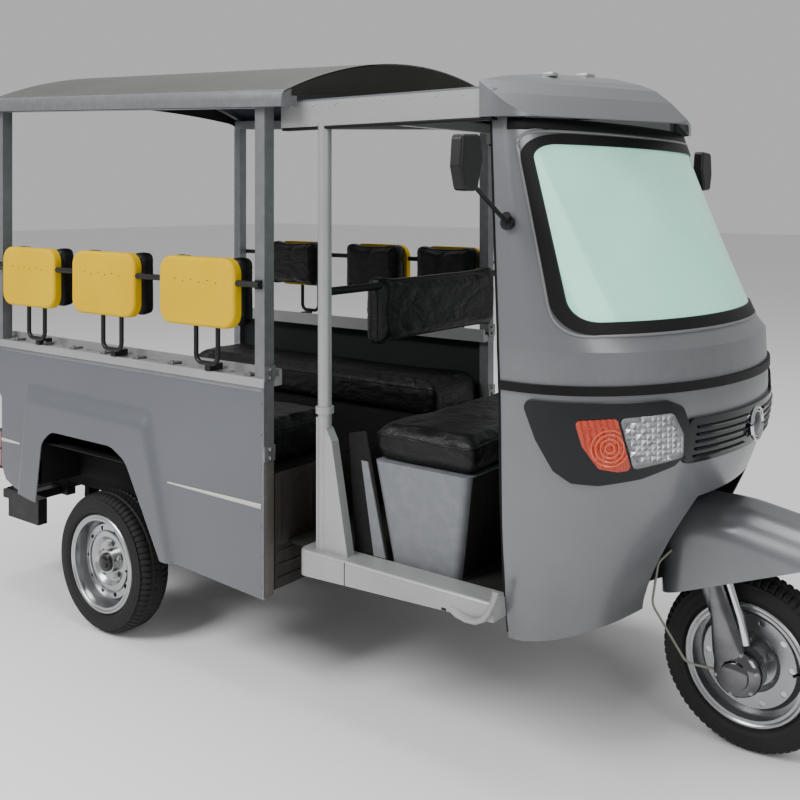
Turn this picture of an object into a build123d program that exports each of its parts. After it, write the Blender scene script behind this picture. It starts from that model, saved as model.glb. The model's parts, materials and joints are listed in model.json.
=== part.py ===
from build123d import *
import math
import os

os.makedirs("parts", exist_ok=True)

# Sizes are in millimetres. X runs forward, Y to the left, Z up, and the ground is Z = 0.
# While it is modelled X = 0 is a datum just ahead of the rear axle, and each node is moved to the middle of
# the length when it is written.

# Wheels
WHEELBASE = 2105.0
REAR_AXLE_X = -85.0
FRONT_AXLE_X = REAR_AXLE_X + WHEELBASE
TYRE_R = 250.0
REAR_TYRE_W = 130.0
FRONT_TYRE_W = 116.0
BEAD_R = 164.0
FLANGE_R = 175.0
RIM_SHEET = 4.0
BARREL_R = 154.0
REAR_WHEEL_Y = 617.0
SPINDLE_R = 14.0
SPINDLE_GAP = 0.06
HUB_R = 42.0
MOVE_GAP = 6.0

# Whole vehicle
REAR_END = -850.0
FENDER_FRONT = 2306.0
CENTRE_X = (REAR_END + FENDER_FRONT) / 2
SHEET = 4.0
SEAT_GAP = 0.3
CLEAR = 0.3

# Passenger tub
TUB_REAR = -770.0
PANEL_REAR = -735.0
TUB_FRONT = 735.0
TUB_HALF = 666.0
TUB_TOP = 974.0
TUB_BOTTOM = 314.0
POST = 42.0
FLOOR_Z = 480.0
FLOOR_T = 14.0
LEDGE_TOP = 1003.0
LEDGE_IN = 588.0
FLARE = 22.0

# Benches
BENCH_IN = 290.0
BENCH_TOP = 705.0
CUSHION_T = 150.0
BENCH_REAR = PANEL_REAR + 12.0
BENCH_FRONT = TUB_FRONT - 12.0

# Roofs
ROOF_HALF = 690.0
ROOF_EAVE = 1878.0
ROOF_TILT = 2.35
ROOF_SKIRT = 46.0
ROOF_RISE = 190.0
ROOF_SHEET = 5.0
RAIL_H = 38.0
CAB_BEAM_HALF = 616.0
CAB_CAP_HALF = 622.0
CAB_BEAM_BOTTOM = 1785.0
CAB_BEAM_TOP = 1862.0
CAB_ROOF_EAVE = 1868.0
CAB_ROOF_RISE = 34.0
CAP_REAR = 1500.0
CAP_SHOULDER = 1600.0
CAP_EAVE = 1885.0
CAP_RISE = 60.0
VISOR_TIP_X = 1843.0
VISOR_TIP_Z = 1776.0

# Cab
B_POST_X = 927.0
B_POST_Y = 600.0
B_POST_R = 21.0
SILL_TOP = 498.0
SILL_BOTTOM = 418.0
SILL_REAR = 853.0
SILL_FRONT = 1559.0 - CLEAR
SILL_RISE = 30.0
SILL_OUT = 645.0
SILL_IN = 560.0
CAB_FLOOR_Z = 474.0
WAIST_LOW = 1058.0
WAIST_HIGH = 1082.0
SHOULDER_Z = 1168.0
COWL_Z = 1212.0
CAB_TOP = CAB_BEAM_BOTTOM
NOSE_REAR = 1559.0

# Frame
RAIL_Y = 400.0
RAIL_W = 56.0
RAIL_BOTTOM = 400.0
RAIL_TOP = FLOOR_Z - FLOOR_T
CROSS = 50.0

# Steering
RAKE = 22.0
HEAD_X = 1800.0
HEAD_Z = 750.0
STEM_R = 17.0
HEAD_TUBE_R = 30.0
WELL_R = 240.0
WELL_TOP = 748.0
LEG_R = 17.0
SHOCK_R = 25.0
LEG_Y = 92.0
CROWN_Z = 575.0

# Driver
DRIVER_BAR_Z = 1280.0
BAR_R = 12.0


def box(x0, x1, y0, y1, z0, z1):
    return Pos((x0 + x1) / 2, (y0 + y1) / 2, (z0 + z1) / 2) * Box(x1 - x0, y1 - y0, z1 - z0)


def rod(start, end, radius):
    a = Vector(*start)
    b = Vector(*end)
    way = b - a
    return Plane(origin=(a + b) * 0.5, z_dir=way) * Cylinder(radius, way.length)


def prism_y(points, y0, y1, radius=0.0):
    at = [(x, y0, z) for x, z in points]
    line = FilletPolyline(*at, radius=radius, close=True) if radius else Polyline(*at, close=True)
    return extrude(make_face(line.edges()), amount=y1 - y0, dir=(0, 1, 0))


def prism_x(points, x0, x1, radius=0.0):
    at = [(x0, y, z) for y, z in points]
    line = FilletPolyline(*at, radius=radius, close=True) if radius else Polyline(*at, close=True)
    return extrude(make_face(line.edges()), amount=x1 - x0, dir=(1, 0, 0))


def across(solid):
    return mirror(solid, about=Plane.XZ)


def both(solids):
    return solids + [across(s) for s in solids]


def spin_y(points):
    """Turn a closed outline of (radius, y) pairs about the Y axis."""
    face = make_face(Polyline(*[(r, y, 0) for r, y in points], close=True).edges())
    return revolve(face, axis=Axis.Y, revolution_arc=360)


def save(name, solids):
    group = Compound(children=[s for part in solids for s in part.solids()])
    export_step(Pos(-CENTRE_X, 0, 0) * group, "parts/" + name + ".step")


# Steering axis, leaning back by the rake
LEAN = math.tan(math.radians(RAKE))


def on_axis(z, y=0.0, ahead=0.0):
    return (HEAD_X + (HEAD_Z - z) * LEAN + ahead, y, z)


def roof_place():
    return Pos(0, 0, ROOF_EAVE) * Rot(0, ROOF_TILT, 0)


# Cab shell: one row for each level, from the apron's lower edge up to the roof. In plan the sides run
# straight from "rear" to "side", and half an ellipse joins them round the front.
CAB_ROWS = [
    {"z": 384.0, "rear": NOSE_REAR, "side": 1573.0, "front": 1775.0, "half": 568.0},
    {"z": 560.0, "rear": NOSE_REAR, "side": 1585.0, "front": 1868.0, "half": 592.0},
    {"z": 800.0, "rear": 1556.0, "side": 1600.0, "front": 1985.0, "half": 602.0},
    {"z": WAIST_LOW, "rear": 1554.0, "side": 1612.0, "front": 2024.0, "half": 605.0},
    {"z": WAIST_HIGH, "rear": 1553.0, "side": 1610.0, "front": 2024.0, "half": 605.0},
    {"z": SHOULDER_Z, "rear": 1549.0, "side": 1608.0, "front": 2020.0, "half": 604.0},
    {"z": COWL_Z, "rear": 1547.0, "side": 1600.0, "front": 1978.0, "half": 602.0},
    {"z": CAB_TOP, "rear": 1510.0, "side": 1545.0, "front": 1685.0, "half": 578.0},
]


def cab_section(row, grow, rear_shift=0.0):
    half = row["half"] + grow
    rear = row["rear"] + rear_shift
    straight = Polyline((row["side"], half), (rear, half), (rear, -half), (row["side"], -half))
    nose = EllipticalCenterArc(
        center=(row["side"], 0),
        x_radius=row["front"] + grow - row["side"],
        y_radius=half,
        start_angle=-90,
        arc_size=180,
    )
    return Pos(0, 0, row["z"]) * make_face(straight.edges() + nose.edges())


def cab_body(first, last, grow, rear_shift=0.0, ruled=False):
    rows = CAB_ROWS[first : last + 1]
    return loft([cab_section(row, grow, rear_shift) for row in rows], ruled=ruled)


OPEN_REAR = -60.0


def nose_body(grow, rear_shift=0.0):
    return cab_body(0, 3, grow, rear_shift)


def waist_body(grow, rear_shift=0.0):
    return cab_body(3, 4, grow, rear_shift, True)


def upper_body(grow, rear_shift=0.0):
    spans = [cab_body(i, i + 1, grow, rear_shift, True) for i in range(4, len(CAB_ROWS) - 1)]
    return spans[0] + spans[1:]


def head_cylinder(radius, z_low, z_high):
    return rod(on_axis(z_low), on_axis(z_high), radius)


# Tyres and rims
def tyre(width):
    half = width / 2
    bead = half - 14.0
    outline = [
        (BEAD_R, -bead), (FLANGE_R + 1.5, -bead), (FLANGE_R + 9.0, -half + 2.0), (FLANGE_R + 34.0, -half),
        (TYRE_R - 22.0, -half + 3.0), (TYRE_R - 6.0, -half + 13.0), (TYRE_R, -half + 26.0),
        (TYRE_R, half - 26.0), (TYRE_R - 6.0, half - 13.0), (TYRE_R - 22.0, half - 3.0),
        (FLANGE_R + 34.0, half), (FLANGE_R + 9.0, half - 2.0), (FLANGE_R + 1.5, bead), (BEAD_R, bead),
    ]
    return spin_y(outline)


def rim(width, dish, hub_half, holes, hole_r, hole_at):
    """Steel wheel: flanged barrel, dished disc on the -Y side and a bored hub."""
    bead = width / 2 - 14.0
    lip = bead + RIM_SHEET + 0.3
    barrel = [
        (BARREL_R, -lip), (FLANGE_R, -lip), (FLANGE_R, -bead - 0.3), (BEAD_R - 0.3, -bead - 0.3),
        (BEAD_R - 0.3, -bead + 18.0), (BARREL_R + RIM_SHEET, -bead + 30.0), (BARREL_R + RIM_SHEET,
        bead - 30.0),
        (BEAD_R - 0.3, bead - 18.0), (BEAD_R - 0.3, bead + 0.3), (FLANGE_R, bead + 0.3), (FLANGE_R, lip),
        (BARREL_R, lip),
    ]
    disc = [
        (HUB_R - 6.0, -dish), (HUB_R + 32.0, -dish), (HUB_R + 46.0, -dish - 12.0), (BARREL_R - 22.0,
        -dish - 12.0),
        (BARREL_R - 8.0, -dish + 8.0), (BARREL_R + 1.0, -dish + 8.0), (BARREL_R + 1.0, -dish + 14.0),
        (BARREL_R - 12.0, -dish + 14.0), (BARREL_R - 26.0, -dish - 6.0), (HUB_R + 48.0, -dish - 6.0),
        (HUB_R + 34.0, -dish + 6.0), (HUB_R - 6.0, -dish + 6.0),
    ]
    hub = Rot(90, 0, 0) * Cylinder(HUB_R, 2 * hub_half)
    wheel = spin_y(barrel) + spin_y(disc) + hub
    for i in range(holes):
        angle = math.radians(360.0 * i / holes)
        at = Pos(hole_at * math.cos(angle), -dish, hole_at * math.sin(angle))
        wheel = wheel - at * Rot(90, 0, 0) * Cylinder(hole_r, 60)
    return wheel - Rot(90, 0, 0) * Cylinder(SPINDLE_R + SPINDLE_GAP, 4 * hub_half)


REAR_HUB_HALF = 30.0
FRONT_HUB_HALF = 48.0
rear_place = Pos(REAR_AXLE_X, -REAR_WHEEL_Y, TYRE_R)
rear_tyre = rear_place * tyre(REAR_TYRE_W)
rear_rim = rear_place * rim(REAR_TYRE_W, 8.0, REAR_HUB_HALF, 10, 9.0, BARREL_R - 36.0)
save("rear_tyre_right", [rear_tyre])
save("rear_rim_right", [rear_rim])
save("rear_tyre_left", [across(rear_tyre)])
save("rear_rim_left", [across(rear_rim)])
front_place = Pos(FRONT_AXLE_X, 0, TYRE_R)
save("front_tyre", [front_place * tyre(FRONT_TYRE_W)])
save("front_rim", [front_place * rim(FRONT_TYRE_W, 4.0, FRONT_HUB_HALF, 10, 9.0, BARREL_R - 36.0)])

# Rear axle with brake drums, gear case and drive motor
AXLE_R = 36.0
DRUM_R = 112.0
AXLE_END = REAR_WHEEL_Y - REAR_HUB_HALF - MOVE_GAP
DRUM_T = 22.0
GEAR_R = 92.0
MOTOR_R = 75.0
MOTOR_L = 300.0
MOTOR_Y = 60.0
axle = rod((REAR_AXLE_X, -AXLE_END, TYRE_R), (REAR_AXLE_X, AXLE_END, TYRE_R), AXLE_R)
for side in (-1, 1):
    inner = (REAR_AXLE_X, side * (AXLE_END - DRUM_T), TYRE_R)
    face = (REAR_AXLE_X, side * AXLE_END, TYRE_R)
    tip = (REAR_AXLE_X, side * (REAR_WHEEL_Y + REAR_HUB_HALF), TYRE_R)
    axle = axle + rod(inner, face, DRUM_R) + rod(face, tip, SPINDLE_R)
axle = axle + rod((REAR_AXLE_X, -60, TYRE_R), (REAR_AXLE_X, 110, TYRE_R), GEAR_R)
axle = axle + rod((REAR_AXLE_X, MOTOR_Y, TYRE_R), (REAR_AXLE_X + MOTOR_L, MOTOR_Y, TYRE_R + 20), MOTOR_R)
save("rear_axle", [axle])

# Leaf springs with their clamps and hangers
LEAF_HALF = 430.0
LEAF_W = 50.0
LEAF_T = 20.0
LEAF_SAG = 68.0
leaf_top = TYRE_R + AXLE_R + SEAT_GAP
leaf_low = RAIL_Y - LEAF_W / 2
leaf_out = RAIL_Y + LEAF_W / 2


def leaf(level, reach, thick):
    low = leaf_top + level
    rise = LEAF_SAG * (reach / LEAF_HALF) ** 2
    under = ThreePointArc((-reach, 0, low + rise), (0, 0, low), (reach, 0, low + rise))
    over = ThreePointArc((-reach, 0, low + rise + thick), (0, 0, low + thick),
        (reach, 0, low + rise + thick))
    ends = [Line((x, 0, low + rise), (x, 0, low + rise + thick)) for x in (-reach, reach)]
    face = make_face(under.edges() + over.edges() + ends[0].edges() + ends[1].edges())
    return Pos(0, leaf_low, 0) * extrude(face, amount=LEAF_W, dir=(0, 1, 0))


spring = leaf(0.0, LEAF_HALF, LEAF_T)
for x in (-LEAF_HALF, LEAF_HALF):
    eye_z = leaf_top + LEAF_SAG + LEAF_T / 2
    spring = spring + rod((x, leaf_low, eye_z), (x, leaf_out, eye_z), 16.0)
    spring = spring + box(x - 14, x + 14, leaf_low, leaf_out, eye_z, RAIL_BOTTOM)
spring = spring + box(-50, 50, leaf_low, leaf_out, leaf_top, leaf_top + LEAF_T + 16)
save("leaf_springs", both([Pos(REAR_AXLE_X, 0, 0) * spring]))

# Frame: two long rails, cross members, the spine up to the head tube and the head tube itself
FRAME_REAR = -715.0
FRAME_FRONT = 1400.0
SPINE_R = 30.0
SPINE_X = 1478.0
frame = box(FRAME_REAR, FRAME_FRONT, -RAIL_Y - RAIL_W / 2, -RAIL_Y + RAIL_W / 2, RAIL_BOTTOM, RAIL_TOP)
frame = frame + across(frame)
for x in (FRAME_REAR + CROSS / 2, -380.0, 350.0, TUB_FRONT, 1100.0, FRAME_FRONT - CROSS / 2):
    frame = frame + box(x - CROSS / 2, x + CROSS / 2, -RAIL_Y, RAIL_Y, RAIL_BOTTOM, RAIL_TOP)
HEAD_LOW = 800.0
HEAD_HIGH = 990.0
spine = [(FRAME_FRONT - CROSS / 2, 432.0), (SPINE_X, 440.0), (SPINE_X, 820.0)]
spine.append((on_axis(895.0)[0], 895.0))
for (x0, z0), (x1, z1) in zip(spine, spine[1:]):
    frame = frame + rod((x0, 0, z0), (x1, 0, z1), SPINE_R)
for x, z in spine[1:-1]:
    frame = frame + Pos(x, 0, z) * Sphere(SPINE_R)
head_tube = head_cylinder(HEAD_TUBE_R, HEAD_LOW, HEAD_HIGH)
frame = frame + head_tube
frame = frame - head_cylinder(STEM_R + SPINDLE_GAP, HEAD_LOW - 60, HEAD_HIGH + 60)
save("chassis_frame", [frame])

# Fork: stem, crown, two legs with a domed brake housing, and the front spindle
STEM_TOP = 1050.0
stem = head_cylinder(STEM_R, CROWN_Z - 10, STEM_TOP)
wheel_ahead = FRONT_AXLE_X - on_axis(TYRE_R)[0]
leg_low = (FRONT_AXLE_X, -LEG_Y, TYRE_R)
leg_high = on_axis(CROWN_Z, -LEG_Y, wheel_ahead)
leg = rod(leg_low, leg_high, LEG_R)
crown_x = on_axis(CROWN_Z)[0]
crown = box(crown_x - 30, crown_x + 48, -LEG_Y - LEG_R, LEG_Y + LEG_R, CROWN_Z - 14, CROWN_Z + 14)
spindle = rod((FRONT_AXLE_X, -LEG_Y - 20, TYRE_R), (FRONT_AXLE_X, LEG_Y + 20, TYRE_R), SPINDLE_R)
DOME_R = 66.0
dome_in = FRONT_TYRE_W / 2 + MOVE_GAP
dome = rod((FRONT_AXLE_X, -dome_in - 26, TYRE_R), (FRONT_AXLE_X, -dome_in, TYRE_R), DOME_R)
shock_low = Vector(*leg_low) * 0.68 + Vector(*leg_high) * 0.32
shock = rod(tuple(shock_low), leg_high, SHOCK_R)
fork = stem + crown + leg + across(leg) + shock + across(shock) + spindle + dome

# Front fender: a rounded dome open below, carried by the crown
FENDER_T = 4.0
FENDER_HALF = 132.0
FENDER_REAR = 1778.0
FENDER_TOP = 694.0
FENDER_FRONT_TOP = 645.0
FENDER_BEND = 2000.0
FENDER_REAR_LOW = 410.0
FENDER_FRONT_LOW = 617.0


def fender_block(inset, half):
    rear = FENDER_REAR + inset
    front = FENDER_FRONT - inset
    low = FENDER_REAR_LOW - 60
    side = [
        (rear, low), (rear, FENDER_TOP - inset), (FENDER_BEND, FENDER_TOP + 4 - inset), (front,
        FENDER_FRONT_TOP - inset),
        (front, low),
    ]
    block = prism_y(side, -half, half)
    for x, radius in ((FENDER_BEND, 480.0), (rear, 118.0 - inset), (front, 34.0 - inset)):
        along = [e for e in block.edges().filter_by(Axis.Y) if e.center().Z > FENDER_REAR_LOW]
        upper = [e for e in along if abs(e.center().X - x) < 2]
        block = fillet(upper, radius)
    raised = [e for e in block.edges() if e.center().Z > FENDER_REAR_LOW - 50]
    hem = [e for e in raised if abs(abs(e.center().Y) - half) < 1]
    return fillet(hem, 92.0 - inset)


fender = fender_block(0.0, FENDER_HALF) - fender_block(FENDER_T, FENDER_HALF - FENDER_T)
hem_slope = (FENDER_FRONT_LOW - FENDER_REAR_LOW) / (FENDER_FRONT - FENDER_REAR)
below = [
    (FENDER_REAR - 50, FENDER_REAR_LOW - 100), (FENDER_REAR - 50, FENDER_REAR_LOW - 50 * hem_slope),
    (FENDER_FRONT + 50, FENDER_FRONT_LOW + 50 * hem_slope), (FENDER_FRONT + 50, FENDER_REAR_LOW - 100),
]
fender = fender - prism_y(below, -FENDER_HALF - 50, FENDER_HALF + 50)
fender = fender - head_cylinder(STEM_R + CLEAR, CROWN_Z, WELL_TOP + 40)
bracket_x = crown_x + 30.0
bracket = rod((bracket_x, 0, CROWN_Z), (bracket_x, 0, FENDER_TOP - 2),
    16.0) & fender_block(FENDER_T + SEAT_GAP, FENDER_HALF - FENDER_T)
fork = fork + bracket
save("fork", [fork])

# Handlebar, clamped on the stem
BAR_Z = STEM_TOP + 22.0
BAR_HALF = 330.0
bar_x = on_axis(BAR_Z)[0]
clamp_low = head_cylinder(STEM_R + 9, STEM_TOP - 40, BAR_Z + 12) - head_cylinder(STEM_R, STEM_TOP - 80,
    STEM_TOP)
bar_points = [(bar_x - 110, -BAR_HALF, BAR_Z + 14), (bar_x, -120, BAR_Z), (bar_x, 120, BAR_Z),
    (bar_x - 110, BAR_HALF, BAR_Z + 14)]
handlebar = clamp_low
for a, b in zip(bar_points, bar_points[1:]):
    handlebar = handlebar + rod(a, b, 11.0)
for p in bar_points[1:-1]:
    handlebar = handlebar + Pos(*p) * Sphere(11.0)
for side in (-1, 1):
    tip = (bar_x - 110, side * BAR_HALF, BAR_Z + 14)
    root = (bar_x - 110 * 0.48, side * (120 + (BAR_HALF - 120) * 0.48), BAR_Z + 7)
    handlebar = handlebar + rod(root, tip, 17.0)
save("handlebar", [handlebar])

# Front brake cable, from the crown round the fender's edge down to the brake housing
CABLE_R = 3.5
cable_points = [
    (crown_x - 20, -LEG_Y - LEG_R + 2, CROWN_Z), (1805.0, -150.0, 520.0), (1790.0, -160.0, 400.0),
    (1880.0, -128.0, 245.0), (FRONT_AXLE_X - DOME_R + 14, -dome_in - 27 - CABLE_R, TYRE_R - 14),
]
cable_path = FilletPolyline(*cable_points, radius=[34.0, 50.0, 40.0])
cable_start = Plane(origin=cable_path @ 0, z_dir=cable_path % 0)
cable = sweep(cable_start * Circle(CABLE_R), path=cable_path)
save("front_brake_cable", [cable - fork])
sleeve = sweep(cable_start * Circle(CABLE_R + CLEAR), path=cable_path)
save("front_fender", [fender - sleeve])

# Tub floor with wheel boxes and the front bulkhead
WHEEL_BOX_REAR = -470.0
WHEEL_BOX_FRONT = 300.0
WHEEL_BOX_IN = 486.0
WHEEL_BOX_TOP = 632.0
side_in = TUB_HALF - SHEET
floor = box(PANEL_REAR, TUB_FRONT, -side_in, side_in, FLOOR_Z - FLOOR_T, FLOOR_Z)
for side in (-1, 1):
    y0, y1 = sorted((side * WHEEL_BOX_IN, side * side_in))
    y2, y3 = sorted((side * (WHEEL_BOX_IN + SHEET), side * (side_in + 10)))
    floor = floor + box(WHEEL_BOX_REAR, WHEEL_BOX_FRONT, y0, y1, FLOOR_Z - FLOOR_T, WHEEL_BOX_TOP)
    floor = floor - box(WHEEL_BOX_REAR + SHEET, WHEEL_BOX_FRONT - SHEET, y2, y3, FLOOR_Z - 60,
        WHEEL_BOX_TOP - SHEET)
floor = floor + box(TUB_FRONT - SHEET, TUB_FRONT, -side_in, side_in, TUB_BOTTOM + 20, BENCH_TOP - 2)
floor = floor - box(TUB_FRONT - 100, TUB_FRONT + 10, -RAIL_Y - RAIL_W / 2 - 2, RAIL_Y + RAIL_W / 2 + 2,
    TUB_BOTTOM, RAIL_TOP)
corner = box(0, POST + 1, TUB_HALF - POST - 1, TUB_HALF, 0, 3000)
post_holes = [Pos(TUB_REAR, 0, 0) * corner, Pos(TUB_FRONT - POST - 1, 0, 0) * corner]
for hole in both(post_holes):
    floor = floor - hole
save("tub_floor", [floor])

# Tub sides: flat sheet with a raised flare round the wheel opening
side_outline = [
    (PANEL_REAR, 500.0), (PANEL_REAR, 770.0), (TUB_REAR, 810.0), (TUB_REAR, TUB_TOP), (TUB_FRONT, TUB_TOP),
    (TUB_FRONT, TUB_BOTTOM), (200.0, 342.0), (-520.0, 408.0), (-640.0, 424.0), (-704.0, 448.0),
]
arch = [(283.0, 300.0), (73.0, 647.0), (-8.0, 687.0), (-368.0, 687.0), (-430.0, 640.0), (-486.0, 300.0)]
flare_foot = [(318.0, 300.0), (186.0, 838.0), (-556.0, 848.0), (-640.0, 300.0)]
flare_face = [(300.0, 300.0), (160.0, 770.0), (-524.0, 780.0), (-600.0, 300.0)]


def flare_block(inset, y_foot, y_face):
    foot = [(x - math.copysign(inset, x), z - inset * (z > 400)) for x, z in flare_foot]
    face = [(x - math.copysign(inset, x), z - inset * (z > 400)) for x, z in flare_face]
    low = make_face(Polyline(*[(x, y_foot, z) for x, z in foot], close=True).edges())
    high = make_face(Polyline(*[(x, y_face, z) for x, z in face], close=True).edges())
    return loft([low, high], ruled=True)


side = prism_y(side_outline, -TUB_HALF, -TUB_HALF + SHEET)
keep = prism_y(side_outline, -TUB_HALF - 60, -TUB_HALF + 60)
side = side + (flare_block(0.0, -TUB_HALF, -TUB_HALF - FLARE) & keep)
side = side - flare_block(SHEET, -TUB_HALF + SHEET, -TUB_HALF - FLARE + SHEET)
side = side - prism_y(arch, -TUB_HALF - 60, -TUB_HALF + 60, radius=34.0)
save("tub_side_right", [side])
save("tub_side_left", [across(side)])

# Slotted ledges on top of the sides
ledge_outline = [
    (-TUB_HALF - 4, TUB_TOP + CLEAR), (-TUB_HALF - 4, LEDGE_TOP), (-LEDGE_IN - 12, LEDGE_TOP),
    (-LEDGE_IN - 12, LEDGE_TOP + 22), (-LEDGE_IN, LEDGE_TOP + 22), (-LEDGE_IN, TUB_TOP + CLEAR),
]
ledge = prism_x(ledge_outline, TUB_REAR, TUB_FRONT)
SLOTS = 9
slot_pitch = (TUB_FRONT - TUB_REAR - 2 * POST - 40) / SLOTS
for i in range(SLOTS):
    x = TUB_REAR + POST + 20 + slot_pitch * (i + 0.5)
    ledge = ledge - box(x - 0.32 * slot_pitch, x + 0.32 * slot_pitch, -TUB_HALF + 26, -TUB_HALF + 42,
        TUB_TOP - 5, LEDGE_TOP + 5)
for hole in post_holes:
    ledge = ledge - across(hole)
save("top_ledges", both([ledge]))

# Roof frame: corner posts, sloping cantrails and cross bows
POST_REAR_LOW = 800.0
above_eave = roof_place() * box(-2000, 2000, -1000, 1000, 0, 1000)
post = box(0, POST, -TUB_HALF, -TUB_HALF + POST, TUB_BOTTOM + 6, 2100)
post = (Pos(TUB_REAR, 0, 0) * post) + (Pos(TUB_FRONT - POST, 0, 0) * post)
rail = roof_place() * box(TUB_REAR + 2, TUB_FRONT + 4, -TUB_HALF, -TUB_HALF + POST, 0, RAIL_H)
roof_side = (post - above_eave) + rail
roof_side = roof_side - box(TUB_REAR - 10, TUB_REAR + POST + 10, -TUB_HALF - 10, -TUB_HALF + 100, 0,
    POST_REAR_LOW)
roof_side = roof_side - box(TUB_REAR - 10, TUB_FRONT + 10, -TUB_HALF - 1, -TUB_HALF + SHEET, 0, TUB_TOP)
roof_frame = roof_side + across(roof_side)


def arch_face(half, eave, rise, low, x):
    """Closed outline across the vehicle: vertical skirts and a round crown."""
    crown = ThreePointArc((x, -half, eave), (x, 0, eave + rise), (x, half, eave))
    sides = Polyline((x, half, eave), (x, half, low), (x, -half, low), (x, -half, eave))
    return make_face(crown.edges() + sides.edges())


roof_arch = ROOF_RISE - ROOF_SKIRT
BOW_W = 28.0
BOW_T = 26.0
for x in (TUB_REAR + POST / 2, -240.0, 250.0, TUB_FRONT - POST / 2):
    bow_half = ROOF_HALF - ROOF_SHEET
    over = arch_face(bow_half, ROOF_SKIRT - 1.0, roof_arch - ROOF_SHEET + 1.0 - CLEAR, 0.0, x - BOW_W / 2)
    under = arch_face(bow_half, ROOF_SKIRT - 1.0 - BOW_T, roof_arch - ROOF_SHEET + 1.0, -40.0,
        x - BOW_W / 2)
    bow = extrude(over, amount=BOW_W, dir=(1, 0, 0)) - extrude(under, amount=BOW_W, dir=(1, 0, 0))
    roof_frame = roof_frame + roof_place() * (bow & box(x - 50, x + 50, -TUB_HALF, TUB_HALF, 0, 400))
save("roof_frame", [roof_frame])

# Arched roof over the tub, with skirts and end plates
ROOF_REAR = -782.0
ROOF_FRONT = 752.0
roof_outer = extrude(arch_face(ROOF_HALF, ROOF_SKIRT, roof_arch, 0.0, ROOF_REAR),
    amount=ROOF_FRONT - ROOF_REAR, dir=(1, 0, 0))
roof_inner_face = arch_face(ROOF_HALF - ROOF_SHEET, ROOF_SKIRT - 1.0, roof_arch - ROOF_SHEET + 1.0,
    -10.0, ROOF_REAR + ROOF_SHEET)
roof_inner = extrude(roof_inner_face, amount=ROOF_FRONT - ROOF_REAR - 2 * ROOF_SHEET, dir=(1, 0, 0))
roof_open = box(ROOF_REAR - 10, ROOF_FRONT + 10, -TUB_HALF - 1, TUB_HALF + 1, -20, RAIL_H + CLEAR)
save("rear_roof", [roof_place() * (roof_outer - roof_inner - roof_open)])

# Bench boxes with a recess for each wheel box
bench = box(BENCH_REAR, BENCH_FRONT, -side_in + 1, -BENCH_IN, FLOOR_Z + CLEAR, BENCH_TOP)
bench = bench - box(BENCH_REAR + SHEET, BENCH_FRONT - SHEET, -side_in - 10, -BENCH_IN - SHEET,
    FLOOR_Z - 10, BENCH_TOP - SHEET)
for hole in post_holes:
    bench = bench - across(hole)
save("bench_bases", both([bench]))

# Bench cushions
def pad(x0, x1, y0, y1, z0, z1, corner_r, edge_r, flat=Axis.Z):
    block = box(x0, x1, y0, y1, z0, z1)
    block = fillet(block.edges().filter_by(flat), corner_r)
    return fillet(block.faces().sort_by(flat)[-1].edges(), edge_r)


cushion_low = BENCH_TOP + SEAT_GAP
cushion_out = -TUB_HALF + POST + 3.0
bench_cushion = pad(BENCH_REAR, BENCH_FRONT, cushion_out, -BENCH_IN + 16, cushion_low,
    BENCH_TOP + CUSHION_T, 30.0, 26.0)
save("bench_cushions", both([bench_cushion]))

# Side backrests: three a side, on one long bar
BACK_BAR_Z = 1296.0
BACK_BAR_R = 10.0
BACK_BAR_Y = TUB_HALF + BACK_BAR_R + CLEAR
BACK_ROWS = [
    {"side": "right", "x": -516.0, "half": 172.0, "high": 1374.0},
    {"side": "right", "x": -52.0, "half": 180.0, "high": 1374.0},
    {"side": "right", "x": 443.0, "half": 182.0, "high": 1374.0},
    {"side": "left", "x": -340.0, "half": 152.0, "high": 1356.0},
    {"side": "left", "x": 137.0, "half": 152.0, "high": 1356.0},
    {"side": "left", "x": 532.0, "half": 150.0, "high": 1356.0},
]
BACK_LOW = 1148.0
SHELL_T = 34.0
PAD_T = 74.0
U_AHEAD = 40.0
U_HALF = 52.0
U_R = 8.0
U_LOW = LEDGE_TOP + 26.0
shell_in = BACK_BAR_Y - SHELL_T / 2
long_bar = rod((TUB_REAR + 10, -BACK_BAR_Y, BACK_BAR_Z), (TUB_FRONT - 10, -BACK_BAR_Y, BACK_BAR_Z),
    BACK_BAR_R)
for x in (TUB_REAR + POST / 2, TUB_FRONT - POST / 2):
    long_bar = long_bar + box(x - 12, x + 12, -BACK_BAR_Y, -TUB_HALF, BACK_BAR_Z - 14, BACK_BAR_Z + 14)
bars = {"right": long_bar, "left": long_bar}
shells = []
pads = []
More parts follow.
